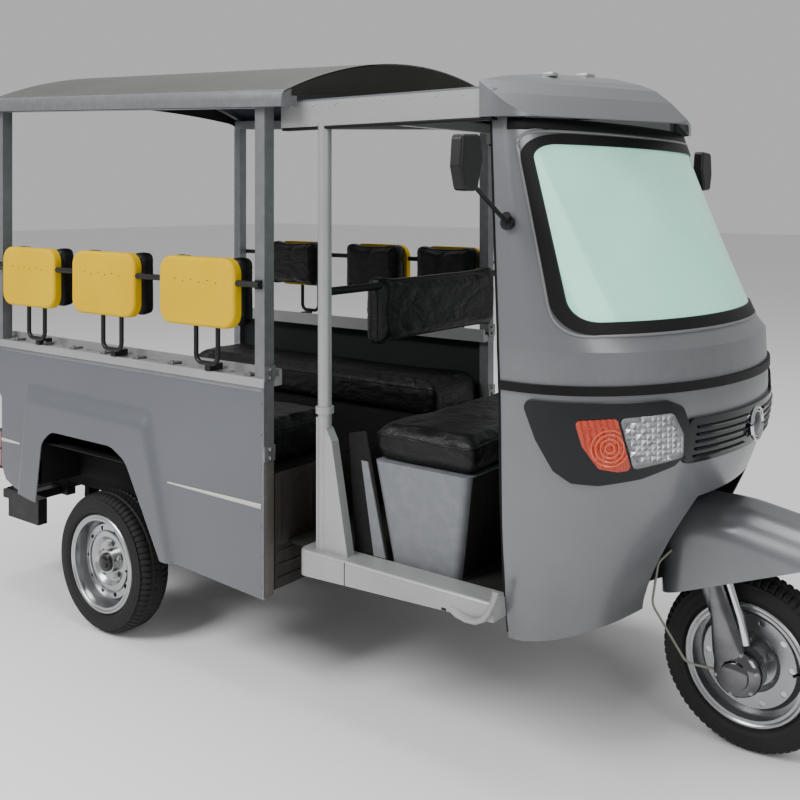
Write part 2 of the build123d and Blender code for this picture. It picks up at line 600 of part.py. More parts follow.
for row in BACK_ROWS:
    x0 = row["x"] - row["half"]
    x1 = row["x"] + row["half"]
    u_mid = row["x"] + U_AHEAD
    hoop = FilletPolyline(
        (u_mid - U_HALF, -BACK_BAR_Y, BACK_BAR_Z),
        (u_mid - U_HALF, -BACK_BAR_Y, U_LOW),
        (u_mid + U_HALF, -BACK_BAR_Y, U_LOW),
        (u_mid + U_HALF, -BACK_BAR_Y, BACK_BAR_Z),
        radius=28.0,
    )
    bar = bars[row["side"]] + sweep(Plane(origin=hoop @ 0, z_dir=hoop % 0) * Circle(U_R), path=hoop)
    bars[row["side"]] = bar + box(u_mid - 12, u_mid + 12, -BACK_BAR_Y + 2, -LEDGE_IN - 30, LEDGE_TOP,
        U_LOW - 4)
    shell = box(x0, x1, -BACK_BAR_Y - SHELL_T / 2, -shell_in, BACK_LOW, row["high"])
    shell = fillet(shell.edges().filter_by(Axis.Y), 52.0)
    shell = fillet(shell.faces().sort_by(Axis.Y)[0].edges(), 12.0) - bars[row["side"]]
    soft = box(x0 - 4, x1 + 4, -shell_in + SEAT_GAP, -shell_in + SEAT_GAP + PAD_T, BACK_LOW - 4,
        row["high"] + 4)
    soft = fillet(soft.edges().filter_by(Axis.Y), 54.0)
    soft = fillet(soft.faces().sort_by(Axis.Y)[-1].edges(), 30.0)
    if row["side"] == "left":
        shell = across(shell)
        soft = across(soft)
    shells.append(shell)
    pads.append(soft)
save("backrest_bars", [bars["right"], across(bars["left"])])
save("backrest_shells", shells)
save("backrest_pads", pads)

# Rear step on brackets, and tail lamps
STEP_Z = 335.0
STEP_T = 34.0
STEP_HALF = 590.0
STEP_ARM_LOW = 270.0
STEP_ARM_HIGH = 370.0
step = box(REAR_END, PANEL_REAR - 8, -STEP_HALF, STEP_HALF, STEP_Z, STEP_Z + STEP_T)
step_arm = box(PANEL_REAR - 30, FRAME_REAR + 60, -RAIL_Y - 20, -RAIL_Y + 20, STEP_Z, RAIL_BOTTOM - CLEAR)
step_arm = step_arm + box(PANEL_REAR - 60, PANEL_REAR + 150, -STEP_HALF - 10, -STEP_HALF + 30,
    STEP_ARM_LOW, STEP_ARM_HIGH)
step_arm = step_arm + box(PANEL_REAR - 8, PANEL_REAR + 40, -STEP_HALF, -RAIL_Y + 20, STEP_Z,
    STEP_Z + STEP_T)
save("rear_step", [step + step_arm + across(step_arm)])
lamp = box(PANEL_REAR - 22, PANEL_REAR - CLEAR, -TUB_HALF + 2, -TUB_HALF + 62, 494, 635)
lamp = fillet(lamp.faces().sort_by(Axis.X)[0].edges(), 8.0)
save("tail_lamps", both([lamp]))

# Cab floor and sills
CAB_FLOOR_FRONT = 1560.0
cab_floor = box(TUB_FRONT + CLEAR, CAB_FLOOR_FRONT, -SILL_IN + CLEAR, SILL_IN - CLEAR, RAIL_TOP + CLEAR,
    CAB_FLOOR_Z + 6)
cab_floor = cab_floor - box(FRAME_FRONT - CROSS, CAB_FLOOR_FRONT + 10, -SPINE_R - 4, SPINE_R + 4, 0, 900)
save("cab_floor", [cab_floor])
sill_outline = [
    (SILL_REAR, SILL_TOP), (SILL_FRONT, SILL_TOP), (SILL_FRONT, SILL_BOTTOM + SILL_RISE), (SILL_REAR,
    SILL_BOTTOM),
]
sill = prism_y(sill_outline, -SILL_OUT, -SILL_IN)
sill_corner = sill.edges().filter_by(Axis.Z).sort_by(Axis.X)[:2].sort_by(Axis.Y)[0]
sill = fillet(sill_corner, 34.0)
sill = fillet(sill.faces().sort_by(Axis.Z)[-1].edges().sort_by(Axis.Y)[0], 10.0)
save("sill_boards", both([sill]))

# B-posts: tubes, collars, sheet feet, roof beams and the bar behind the driver
post_foot = SILL_TOP
tube = rod((B_POST_X, -B_POST_Y, post_foot), (B_POST_X, -B_POST_Y, CAB_BEAM_BOTTOM + 10), B_POST_R)
tube = tube + rod((B_POST_X, -B_POST_Y, 912), (B_POST_X, -B_POST_Y, 932), B_POST_R + 7)
foot_outline = [
    (B_POST_X - B_POST_R, SILL_TOP), (B_POST_X - B_POST_R, 900.0), (B_POST_X + B_POST_R, 868.0),
    (B_POST_X + B_POST_R + 20, 832.0), (B_POST_X + 104, SILL_TOP),
]
tube = tube + prism_y(foot_outline, -B_POST_Y - 16, -B_POST_Y + 16)
CAB_ROOF_REAR = ROOF_FRONT + 6.0
BEAM_FRONT = 1538.0
beam = box(CAB_ROOF_REAR, BEAM_FRONT, -CAB_BEAM_HALF, -CAB_BEAM_HALF + 40, CAB_BEAM_BOTTOM, CAB_BEAM_TOP)
b_frame = tube + beam
b_frame = b_frame + across(b_frame)
b_frame = b_frame + rod((B_POST_X, -B_POST_Y, DRIVER_BAR_Z), (B_POST_X, B_POST_Y, DRIVER_BAR_Z), BAR_R)
b_frame = b_frame + box(CAB_ROOF_REAR, CAB_ROOF_REAR + 30, -CAB_BEAM_HALF, CAB_BEAM_HALF,
    CAB_BEAM_TOP - 36, CAB_BEAM_TOP)
save("b_posts", [b_frame])

# Cab roof: a nearly flat sheet over the beams, then a raised cap with a pointed visor
CAP_SHEET = 5.0
# Fall of the cap toward its front edges: distance in from the edge, and height
CAP_PROFILE = [
    {"in": 400.0, "z": 1950.0},
    {"in": 319.0, "z": 1945.0},
    {"in": 226.0, "z": 1936.0},
    {"in": 147.0, "z": 1911.0},
    {"in": 101.0, "z": 1889.0},
    {"in": 57.0, "z": 1851.0},
    {"in": 0.0, "z": 1788.0},
]


def flat_block(inset):
    half = CAB_BEAM_HALF - inset
    face = arch_face(half, CAB_ROOF_EAVE - inset, CAB_ROOF_RISE, CAB_BEAM_TOP + CLEAR - 2 * inset,
        CAB_ROOF_REAR + inset)
    return extrude(face, amount=CAP_REAR + inset + 1.0 - CAB_ROOF_REAR, dir=(1, 0, 0))


def cap_slope(side, inset):
    """Everything under the fall toward one front edge of the cap."""
    edge = Vector(CAP_SHOULDER - VISOR_TIP_X, side * CAB_CAP_HALF, 0).normalized()
    out = Vector(edge.Y * side, -edge.X * side, 0)
    low = VISOR_TIP_Z - 80
    points = [(-900.0, low), (-900.0, CAP_PROFILE[0]["z"] - inset)]
    points = points + [(-row["in"] - inset, row["z"] - inset) for row in CAP_PROFILE] + [(-inset, low)]
    plane = Plane(origin=(VISOR_TIP_X, 0, 0), x_dir=out, z_dir=out.cross(Vector(0, 0, 1)))
    return extrude(plane * make_face(Polyline(*points, close=True).edges()), amount=1200, both=True)


def cap_block(inset):
    half = CAB_CAP_HALF - inset
    face = arch_face(half, CAP_EAVE - inset, CAP_RISE, VISOR_TIP_Z - 40, CAP_REAR + inset)
    arch = extrude(face, amount=VISOR_TIP_X + 60 - CAP_REAR, dir=(1, 0, 0))
    low = VISOR_TIP_Z - 60
    plan = [(CAP_REAR, half), (CAP_SHOULDER, half), (VISOR_TIP_X - inset, 0.0), (CAP_SHOULDER, -half),
        (CAP_REAR, -half)]
    front = FilletPolyline(*plan, radius=[130.0, 170.0, 130.0])
    rear = Line(plan[-1], plan[0])
    plan_block = Pos(0, 0, low) * extrude(make_face(front.edges() + rear.edges()), amount=300,
        dir=(0, 0, 1))
    return arch & cap_slope(1.0, inset) & cap_slope(-1.0, inset) & plan_block


cap = flat_block(0.0) + cap_block(0.0) - flat_block(CAP_SHEET) - cap_block(CAP_SHEET)
cap = cap - box(CAB_ROOF_REAR - 20, BEAM_FRONT + 1, -CAB_BEAM_HALF - 0.5, CAB_BEAM_HALF + 0.5, 1600,
    CAB_BEAM_TOP + CLEAR)
cap = cap - box(CAB_ROOF_REAR - 20, VISOR_TIP_X + 20, -900, 900, 1600, CAB_TOP + CLEAR)
save("cab_roof", [cap])

# Cab shells, waist moulding, screen and its gasket
SCREEN_LOW = (1709.0, 1213.0)
SCREEN_HIGH = (1582.0, 1743.0)


def screen_prism(inset):
    """Side outline of the screen, run right across the cab, so the opening wraps round the front."""
    low_x, low_z = SCREEN_LOW
    high_x, high_z = SCREEN_HIGH
    points = [(low_x + inset, low_z + inset), (high_x + inset, high_z - inset), (2200, high_z - inset),
        (2200, low_z + inset)]
    return prism_y(points, -900, 900, radius=[110.0 - inset, 62.0 - inset, 10.0, 10.0])


GASKET_W = 30.0
upper = upper_body(0.0) - upper_body(-SHEET, OPEN_REAR) - screen_prism(0.0)
save("cab_upper", [upper])
gasket_ring = screen_prism(CLEAR) - screen_prism(GASKET_W)
gasket = (upper_body(6.0) - upper_body(-SHEET - 4.0, OPEN_REAR)) & gasket_ring
save("windscreen_gasket", [gasket])
glass = (upper_body(-1.0) - upper_body(-6.0, OPEN_REAR)) & screen_prism(GASKET_W + CLEAR)
save("windscreen", [glass])
moulding = waist_body(9.0) - waist_body(-SHEET, OPEN_REAR)
save("waist_moulding", [moulding])

well_cut = head_cylinder(WELL_R, 300.0, 800.0) & box(1000, 3000, -500, 500, 0, WELL_TOP)
nose = nose_body(0.0) - nose_body(-SHEET, OPEN_REAR) - well_cut
save("cab_lower", [nose])

# Front wheel well behind the apron
well = well_cut - (head_cylinder(WELL_R - SHEET, 280.0, 820.0) & box(1000, 3000, -500, 500, 0,
    WELL_TOP - SHEET))
well = well & nose_body(-SHEET - CLEAR, OPEN_REAR) & box(1000, 3000, -500, 500, 372.0, 1000)
well = well - head_cylinder(STEM_R + MOVE_GAP, 600.0, 900.0)
save("front_wheel_well", [well])

# Lamps: each outline lies in a plane that faces outward and forward, and is cut from a skin over the nose
LAMP_TURN = -62.0
LAMP_PLANE = Plane(
    origin=(1830.0, -470.0, 0),
    x_dir=(math.sin(math.radians(-LAMP_TURN)), math.cos(math.radians(-LAMP_TURN)), 0),
    z_dir=(math.cos(math.radians(LAMP_TURN)), math.sin(math.radians(LAMP_TURN)), 0),
)
LAMP_OUTLINE = [
    (-250, 1042), (-140, 1040), (130, 1040), (172, 1020), (188, 975), (188, 900), (150, 864),
    (60, 838), (-50, 826), (-120, 832), (-166, 862), (-212, 940),
]
INDICATOR_OUTLINE = [(-112, 996), (-3, 1002), (34, 866), (0, 862), (-50, 872), (-92, 930)]
HEADLAMP_OUTLINE = [(3, 1002), (144, 1008), (172, 950), (172, 886), (40, 866)]


def lamp_prism(points, radius):
    line = FilletPolyline(*points, radius=radius, close=True)
    return extrude(LAMP_PLANE * make_face(line.edges()), amount=260, both=True)


nose_out = nose_body(CLEAR)
mask_skin = nose_body(15.0) - nose_out
lens_skin = nose_body(19.0) - nose_out
mask = mask_skin & lamp_prism(LAMP_OUTLINE, 20.0)
indicator_cut = lamp_prism(INDICATOR_OUTLINE, 12.0)
headlamp_cut = lamp_prism(HEADLAMP_OUTLINE, 12.0)
indicator = lens_skin & indicator_cut
headlamp = lens_skin & headlamp_cut
mask = mask - indicator_cut - headlamp_cut
GRILLE_OUTLINE = [(-330, 862), (330, 862), (330, 984), (-330, 984)]
front_only = box(1500, 2300, -900, -8, 700, 1200)
grille = (nose_body(11.0) - nose_out) & prism_x(GRILLE_OUTLINE, 1700, 2200, radius=20.0)
grille = grille - lamp_prism(LAMP_OUTLINE, 20.0) - across(lamp_prism(LAMP_OUTLINE, 20.0))
save("lamp_surrounds", both([mask & front_only]))
save("indicators", both([indicator & front_only]))
save("headlamps", both([headlamp & front_only]))
save("nose_grille", [grille])

# Mirrors on thin arms
MIRROR_X = 1576.0
MIRROR_FOOT_Z = 1500.0
MIRROR_ROWS = [
    {"side": 1.0, "y": 795.0, "z": 1656.0},
    {"side": -1.0, "y": 795.0, "z": 1664.0},
]
mirrors = []
for row in MIRROR_ROWS:
    foot_y = -B_POST_Y + 2
    arm = rod((MIRROR_X - 2, foot_y, MIRROR_FOOT_Z), (MIRROR_X + 2, -row["y"] + 10, row["z"] - 46), 6.0)
    arm = arm + rod((MIRROR_X - 2, foot_y - 8, MIRROR_FOOT_Z),
        (MIRROR_X - 2, foot_y + 10, MIRROR_FOOT_Z), 18.0)
    arm = arm - upper_body(CLEAR)
    outline = [
        (-row["y"] - 34, row["z"] - 70), (-row["y"] - 52, row["z"] - 10), (-row["y"] - 44, row["z"] + 70),
        (-row["y"] + 40, row["z"] + 74), (-row["y"] + 52, row["z"] + 10), (-row["y"] + 26, row["z"] - 72),
    ]
    head = prism_x(outline, MIRROR_X - 16, MIRROR_X + 18, radius=16.0)
    head = fillet(head.faces().sort_by(Axis.X)[-1].edges(), 10.0)
    mirror_one = arm + head
    mirrors.append(mirror_one if row["side"] > 0 else across(mirror_one))
save("mirrors", mirrors)

# Driver's seat box, cushion and backrest
box_low = CAB_FLOOR_Z + 6 + CLEAR
BOX_HALF = 545.0
seat_outline = [(1140.0, box_low), (1070.0, 780.0), (1412.0, 780.0), (1376.0, box_low)]
seat_box = prism_y(seat_outline, -BOX_HALF, BOX_HALF)
upright = [e for e in seat_box.edges() if box_low + 50 < e.center().Z < 770]
upright = [e for e in upright if abs(abs(e.center().Y) - BOX_HALF) < 1]
seat_box = fillet(upright, 26.0)
save("seat_box", [seat_box])
driver_cushion = pad(1042.0, SPINE_X - SPINE_R - 8, -560.0, 560.0, 780.0 + SEAT_GAP, 892.0, 60.0, 30.0)
save("driver_cushion", [driver_cushion])
DRIVER_BACK_HALF = 370.0
DRIVER_BACK_LOW = 1076.0
DRIVER_BACK_HIGH = 1318.0
back = box(
    B_POST_X - 58, B_POST_X + 26, -DRIVER_BACK_HALF, DRIVER_BACK_HALF, DRIVER_BACK_LOW, DRIVER_BACK_HIGH,
)
back = fillet(back.edges().filter_by(Axis.X), 48.0)
back = fillet(back.faces().sort_by(Axis.X)[-1].edges(), 24.0)
back = back - rod((B_POST_X, -500, DRIVER_BAR_Z), (B_POST_X, 500, DRIVER_BAR_Z), BAR_R + SEAT_GAP)
save("driver_backrest", [back])

# Shelf under the screen with the instrument pod
dash = nose_body(-SHEET - CLEAR) & box(1740, 2100, -700, 700, 1006, 1040)
dash = dash + (box(1790, 1900, -120, 120, 1040, WAIST_LOW) & nose_body(-SHEET - CLEAR))
save("dashboard", [dash])
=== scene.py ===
"""Looks of the electric rickshaw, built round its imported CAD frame.

Places are written in the millimetres of the part's source, and at() turns them into metres of the frame.
"""

import json
import logging
import math
from collections.abc import Callable, Sequence
from dataclasses import dataclass, field
from enum import Enum

import bmesh
import bpy
from mathutils import Matrix, Vector, noise
from mathutils.bvhtree import BVHTree

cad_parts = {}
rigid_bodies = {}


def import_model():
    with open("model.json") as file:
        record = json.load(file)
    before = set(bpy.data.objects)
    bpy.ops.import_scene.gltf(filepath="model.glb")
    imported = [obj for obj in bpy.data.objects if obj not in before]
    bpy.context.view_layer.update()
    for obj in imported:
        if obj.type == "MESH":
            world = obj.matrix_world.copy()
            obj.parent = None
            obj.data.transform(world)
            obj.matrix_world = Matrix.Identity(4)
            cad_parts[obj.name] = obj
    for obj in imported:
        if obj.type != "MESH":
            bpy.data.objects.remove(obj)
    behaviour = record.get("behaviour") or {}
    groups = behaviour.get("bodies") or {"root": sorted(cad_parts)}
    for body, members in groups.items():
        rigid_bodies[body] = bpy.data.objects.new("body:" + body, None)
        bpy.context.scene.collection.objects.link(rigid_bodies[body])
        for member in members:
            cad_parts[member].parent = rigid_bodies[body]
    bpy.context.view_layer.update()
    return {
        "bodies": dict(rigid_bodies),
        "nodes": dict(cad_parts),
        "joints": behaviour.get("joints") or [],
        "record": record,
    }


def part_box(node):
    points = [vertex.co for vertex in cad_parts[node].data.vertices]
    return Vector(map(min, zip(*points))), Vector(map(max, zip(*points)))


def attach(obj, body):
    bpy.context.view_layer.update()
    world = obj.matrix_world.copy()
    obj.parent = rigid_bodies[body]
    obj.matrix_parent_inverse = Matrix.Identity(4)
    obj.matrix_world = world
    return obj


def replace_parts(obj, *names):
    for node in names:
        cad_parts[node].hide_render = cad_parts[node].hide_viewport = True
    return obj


LOG = logging.getLogger("rickshaw")

CENTRE_X = 728.0
TYRE_R = 250.0
FRONT_AXLE_X = 2020.0
REAR_AXLE_X = -85.0
REAR_WHEEL_Y = 617.0
FRONT_TYRE_WIDTH = 116.0
REAR_TYRE_WIDTH = 130.0
FRONT_DISC_FACE = 5.0
REAR_DISC_FACE = 15.0
TUB_REAR = -770.0
PANEL_REAR = -735.0
TUB_FRONT = 735.0
TUB_HALF = 666.0
LEDGE_TOP = 1003.0
ROOF_EAVE = 1878.0
ROOF_TILT = math.radians(2.35)
ROOF_HALF = 690.0
ROOF_REAR = -782.0
ROOF_FRONT = 752.0
ROOF_SKIRT = 46.0
ROOF_RISE = 190.0
BEAM_HALF = 616.0
SILL_OUT = 645.0

Colour = tuple[float, float, float]
Point = tuple[float, float, float]


class Body(Enum):
    """The moving bodies of the frame."""

    CHASSIS = "chassis"
    STEERING = "steering"
    FRONT_WHEEL = "front_wheel"
    REAR_RIGHT = "rear_wheel_right"
    REAR_LEFT = "rear_wheel_left"


class Texture(Enum):
    """The relief a finish carries."""

    SMOOTH = "smooth"
    GRAIN = "grain"
    CREASE = "crease"
    RIB = "rib"


def at(x: float, y: float, z: float) -> Vector:
    """Return a place of the part's source as a point of the frame, in metres."""
    return Vector(((x - CENTRE_X) / 1000, y / 1000, z / 1000))


def turns(count: int) -> list[float]:
    """Return evenly spaced angles round a circle."""
    return [2 * math.pi * k / count for k in range(count)]


def spread(side: float, inner: float, outer: float) -> list[float]:
    """Return the low and the high Y of a stretch on one side of the vehicle."""
    return sorted((side * inner, side * outer))


def add_group(
    name: str, inputs: Sequence[tuple[str, str, object]], outputs: Sequence[tuple[str, str]]
) -> bpy.types.NodeTree:
    """Start a shader node group with its sockets.

    Args:
        name: Name of the group.
        inputs: Socket name, short type and default of each input.
        outputs: Socket name and short type of each output.

    Returns:
        The new group, which has an input and an output node.
    """
    kinds = {"f": "NodeSocketFloat", "c": "NodeSocketColor", "v": "NodeSocketVector"}
    tree = bpy.data.node_groups.new(name, "ShaderNodeTree")
    for label, kind, default in inputs:
        socket = tree.interface.new_socket(label, in_out="INPUT", socket_type=kinds[kind])
        socket.default_value = default
    for label, kind in outputs:
        tree.interface.new_socket(label, in_out="OUTPUT", socket_type=kinds[kind])
    tree.nodes.new("NodeGroupInput")
    tree.nodes.new("NodeGroupOutput")
    return tree


def math_node(
    tree: bpy.types.NodeTree, operation: str, a: object, b: object = None, clamp: bool = False
) -> bpy.types.NodeSocket:
    """Add a Math node fed by sockets or numbers.

    Args:
        tree: Node tree to add to.
        operation: Blender's name of the operation.
        a: First socket or number.
        b: Second socket or number.
        clamp: Whether the result is kept between 0 and 1.

    Returns:
        The node's output socket.
    """
    node = tree.nodes.new("ShaderNodeMath")
    node.operation = operation
    node.use_clamp = clamp
    for index, value in enumerate((a, b)):
        if isinstance(value, bpy.types.NodeSocket):
            tree.links.new(value, node.inputs[index])
        elif value is not None:
            node.inputs[index].default_value = value
    return node.outputs[0]


def mix_colour(
    tree: bpy.types.NodeTree, factor: bpy.types.NodeSocket, a: object, b: object
) -> bpy.types.NodeSocket:
    """Add a colour Mix node fed by sockets or colours.

    Args:
        tree: Node tree to add to.
        factor: Socket with the share of the second colour.
        a: First socket or colour.
        b: Second socket or colour.

    Returns:
        The mixed colour's socket.
    """
    node = tree.nodes.new("ShaderNodeMix")
    node.data_type = "RGBA"
    tree.links.new(factor, node.inputs[0])
    for index, value in ((6, a), (7, b)):
        if isinstance(value, bpy.types.NodeSocket):
            tree.links.new(value, node.inputs[index])
        else:
            node.inputs[index].default_value = (*value, 1.0)
    return node.outputs[2]


def noise_at(
    tree: bpy.types.NodeTree, scale: object, detail: float, stretch: object = None
) -> bpy.types.NodeSocket:
    """Add a noise over the object's own coordinates.

    Args:
        tree: Node tree to add to.
        scale: Socket or number for the noise's scale.
        detail: Levels of detail.
        stretch: Socket that scales the coordinates first.

    Returns:
        The noise value's socket.
    """
    place = tree.nodes.new("ShaderNodeTexCoord").outputs["Object"]
    if stretch is not None:
        scaled = tree.nodes.new("ShaderNodeVectorMath")
        scaled.operation = "MULTIPLY"
        tree.links.new(place, scaled.inputs[0])
        tree.links.new(stretch, scaled.inputs[1])
        place = scaled.outputs[0]
    node = tree.nodes.new("ShaderNodeTexNoise")
    node.inputs["Detail"].default_value = detail
    tree.links.new(place, node.inputs["Vector"])
    if isinstance(scale, bpy.types.NodeSocket):
        tree.links.new(scale, node.inputs["Scale"])
    else:
        node.inputs["Scale"].default_value = scale
    return node.outputs[0]


def ends(tree: bpy.types.NodeTree) -> tuple[bpy.types.NodeOutputs, bpy.types.NodeInputs]:
    """Return a group's incoming and outgoing sockets."""
    return tree.nodes["Group Input"].outputs, tree.nodes["Group Output"].inputs


def drift_group() -> bpy.types.NodeTree:
    """Return the group that lets a colour drift in soft clouds.

    Returns:
        The group.
    """
    tree = add_group(
        "colour_drift",
        [
            ("Colour", "c", (0.5, 0.5, 0.5, 1)), ("Second", "c", (0.4, 0.4, 0.4, 1)), ("Scale", "f", 3.0),
            ("Stretch", "v", (1, 1, 1)),
        ],
        [("Colour", "c"), ("Value", "f")],
    )
    given, out = ends(tree)
    cloud = noise_at(tree, given["Scale"], 4.0, given["Stretch"])
    share = math_node(tree, "MULTIPLY_ADD", cloud, 2.2, clamp=True)
    share.node.inputs[2].default_value = -0.6
    tree.links.new(mix_colour(tree, share, given["Colour"], given["Second"]), out["Colour"])
    tree.links.new(share, out["Value"])
    return tree


def wear_group() -> bpy.types.NodeTree:
    """Return the group that masks rubbed edges and small scuffs.

    Returns:
        The group.
    """
    tree = add_group("edge_wear", [("Amount", "f", 0.3), ("Scale", "f", 30.0)], [("Mask", "f")])
    given, out = ends(tree)
    edge = tree.nodes.new("ShaderNodeNewGeometry").outputs["Pointiness"]
    sharp = math_node(tree, "MULTIPLY", math_node(tree, "SUBTRACT", edge, 0.53), 14.0, clamp=True)
    patch = math_node(
        tree, "MULTIPLY", math_node(tree, "SUBTRACT", noise_at(tree, given["Scale"], 6.0), 0.45), 5.0,
        clamp=True,
    )
    speck = math_node(
        tree, "MULTIPLY", math_node(tree, "SUBTRACT", noise_at(tree, 90.0, 3.0), 0.68), 8.0, clamp=True
    )
    both = math_node(
        tree, "ADD", math_node(tree, "MULTIPLY", sharp, patch), math_node(tree, "MULTIPLY", speck, 0.5),
        clamp=True,
    )
    tree.links.new(math_node(tree, "MULTIPLY", both, given["Amount"], clamp=True), out["Mask"])
    return tree


def dust_group() -> bpy.types.NodeTree:
    """Return the group that masks road dust, thicker near the ground.

    Returns:
        The group.
    """
    tree = add_group(
        "road_dust", [("Height", "f", 0.6), ("Fade", "f", 0.5), ("Strength", "f", 0.5)], [("Mask", "f")]
    )
    given, out = ends(tree)
    split = tree.nodes.new("ShaderNodeSeparateXYZ")
    tree.links.new(tree.nodes.new("ShaderNodeTexCoord").outputs["Object"], split.inputs[0])
    depth = math_node(
        tree, "DIVIDE", math_node(tree, "SUBTRACT", given["Height"], split.outputs["Z"]), given["Fade"],
        clamp=True,
    )
    streak = math_node(
        tree, "ADD", math_node(tree, "MULTIPLY", noise_at(tree, 9.0, 6.0), 1.1), -0.05, clamp=True
    )
    mask = math_node(
        tree, "MULTIPLY", math_node(tree, "MULTIPLY", depth, streak), given["Strength"], clamp=True
    )
    tree.links.new(mask, out["Mask"])
    return tree


def grain_group() -> bpy.types.NodeTree:
    """Return the group that gives the height of a fine grain.

    Returns:
        The group.
    """
    tree = add_group("fine_grain", [("Scale", "f", 300.0), ("Stretch", "v", (1, 1, 1))], [("Height", "f")])
    given, out = ends(tree)
    tree.links.new(noise_at(tree, given["Scale"], 3.0, given["Stretch"]), out["Height"])
    return tree


def crease_group() -> bpy.types.NodeTree:
    """Return the group that gives the height of creased vinyl with a leather grain, and the painted shade of
    its folds.

    Returns:
        The group.
    """
    tree = add_group(
        "vinyl_crease", [("Scale", "f", 9.0), ("Stretch", "v", (1, 1, 1))], [("Height", "f"), ("Shade", "f")]
    )
    given, out = ends(tree)
    wide = noise_at(tree, given["Scale"], 5.0, given["Stretch"])
    fold = math_node(tree, "ABSOLUTE", math_node(tree, "SUBTRACT", wide, 0.5))
    fold = math_node(tree, "MULTIPLY", fold, 5.0, clamp=True)
    cell = tree.nodes.new("ShaderNodeTexVoronoi")
    cell.inputs["Scale"].default_value = 420.0
    tree.links.new(tree.nodes.new("ShaderNodeTexCoord").outputs["Object"], cell.inputs["Vector"])
    fine = math_node(tree, "MULTIPLY", cell.outputs["Distance"], 0.12)
    tree.links.new(math_node(tree, "ADD", fold, fine), out["Height"])
    tree.links.new(fold, out["Shade"])
    return tree


def rib_group() -> bpy.types.NodeTree:
    """Return the group that gives the height of straight moulded ribs.

    Returns:
        The group.
    """
    tree = add_group("moulded_rib", [("Scale", "f", 300.0), ("Stretch", "v", (1, 0, 0))], [("Height", "f")])
    given, out = ends(tree)
    dot = tree.nodes.new("ShaderNodeVectorMath")
    dot.operation = "DOT_PRODUCT"
    tree.links.new(tree.nodes.new("ShaderNodeTexCoord").outputs["Object"], dot.inputs[0])
    tree.links.new(given["Stretch"], dot.inputs[1])
    wave = math_node(tree, "SINE", math_node(tree, "MULTIPLY", dot.outputs["Value"], given["Scale"]))
    tree.links.new(wave, out["Height"])
    return tree


@dataclass
class Effects:
    """The shader node groups that the finishes share."""

    drift: bpy.types.NodeTree = field(default_factory=drift_group)
    wear: bpy.types.NodeTree = field(default_factory=wear_group)
    dust: bpy.types.NodeTree = field(default_factory=dust_group)
    grain: bpy.types.NodeTree = field(default_factory=grain_group)
    crease: bpy.types.NodeTree = field(default_factory=crease_group)
    rib: bpy.types.NodeTree = field(default_factory=rib_group)

    def relief(self, texture: Texture) -> bpy.types.NodeTree:
        """Return the group that gives a texture's height."""
        return {Texture.CREASE: self.crease, Texture.RIB: self.rib}.get(texture, self.grain)


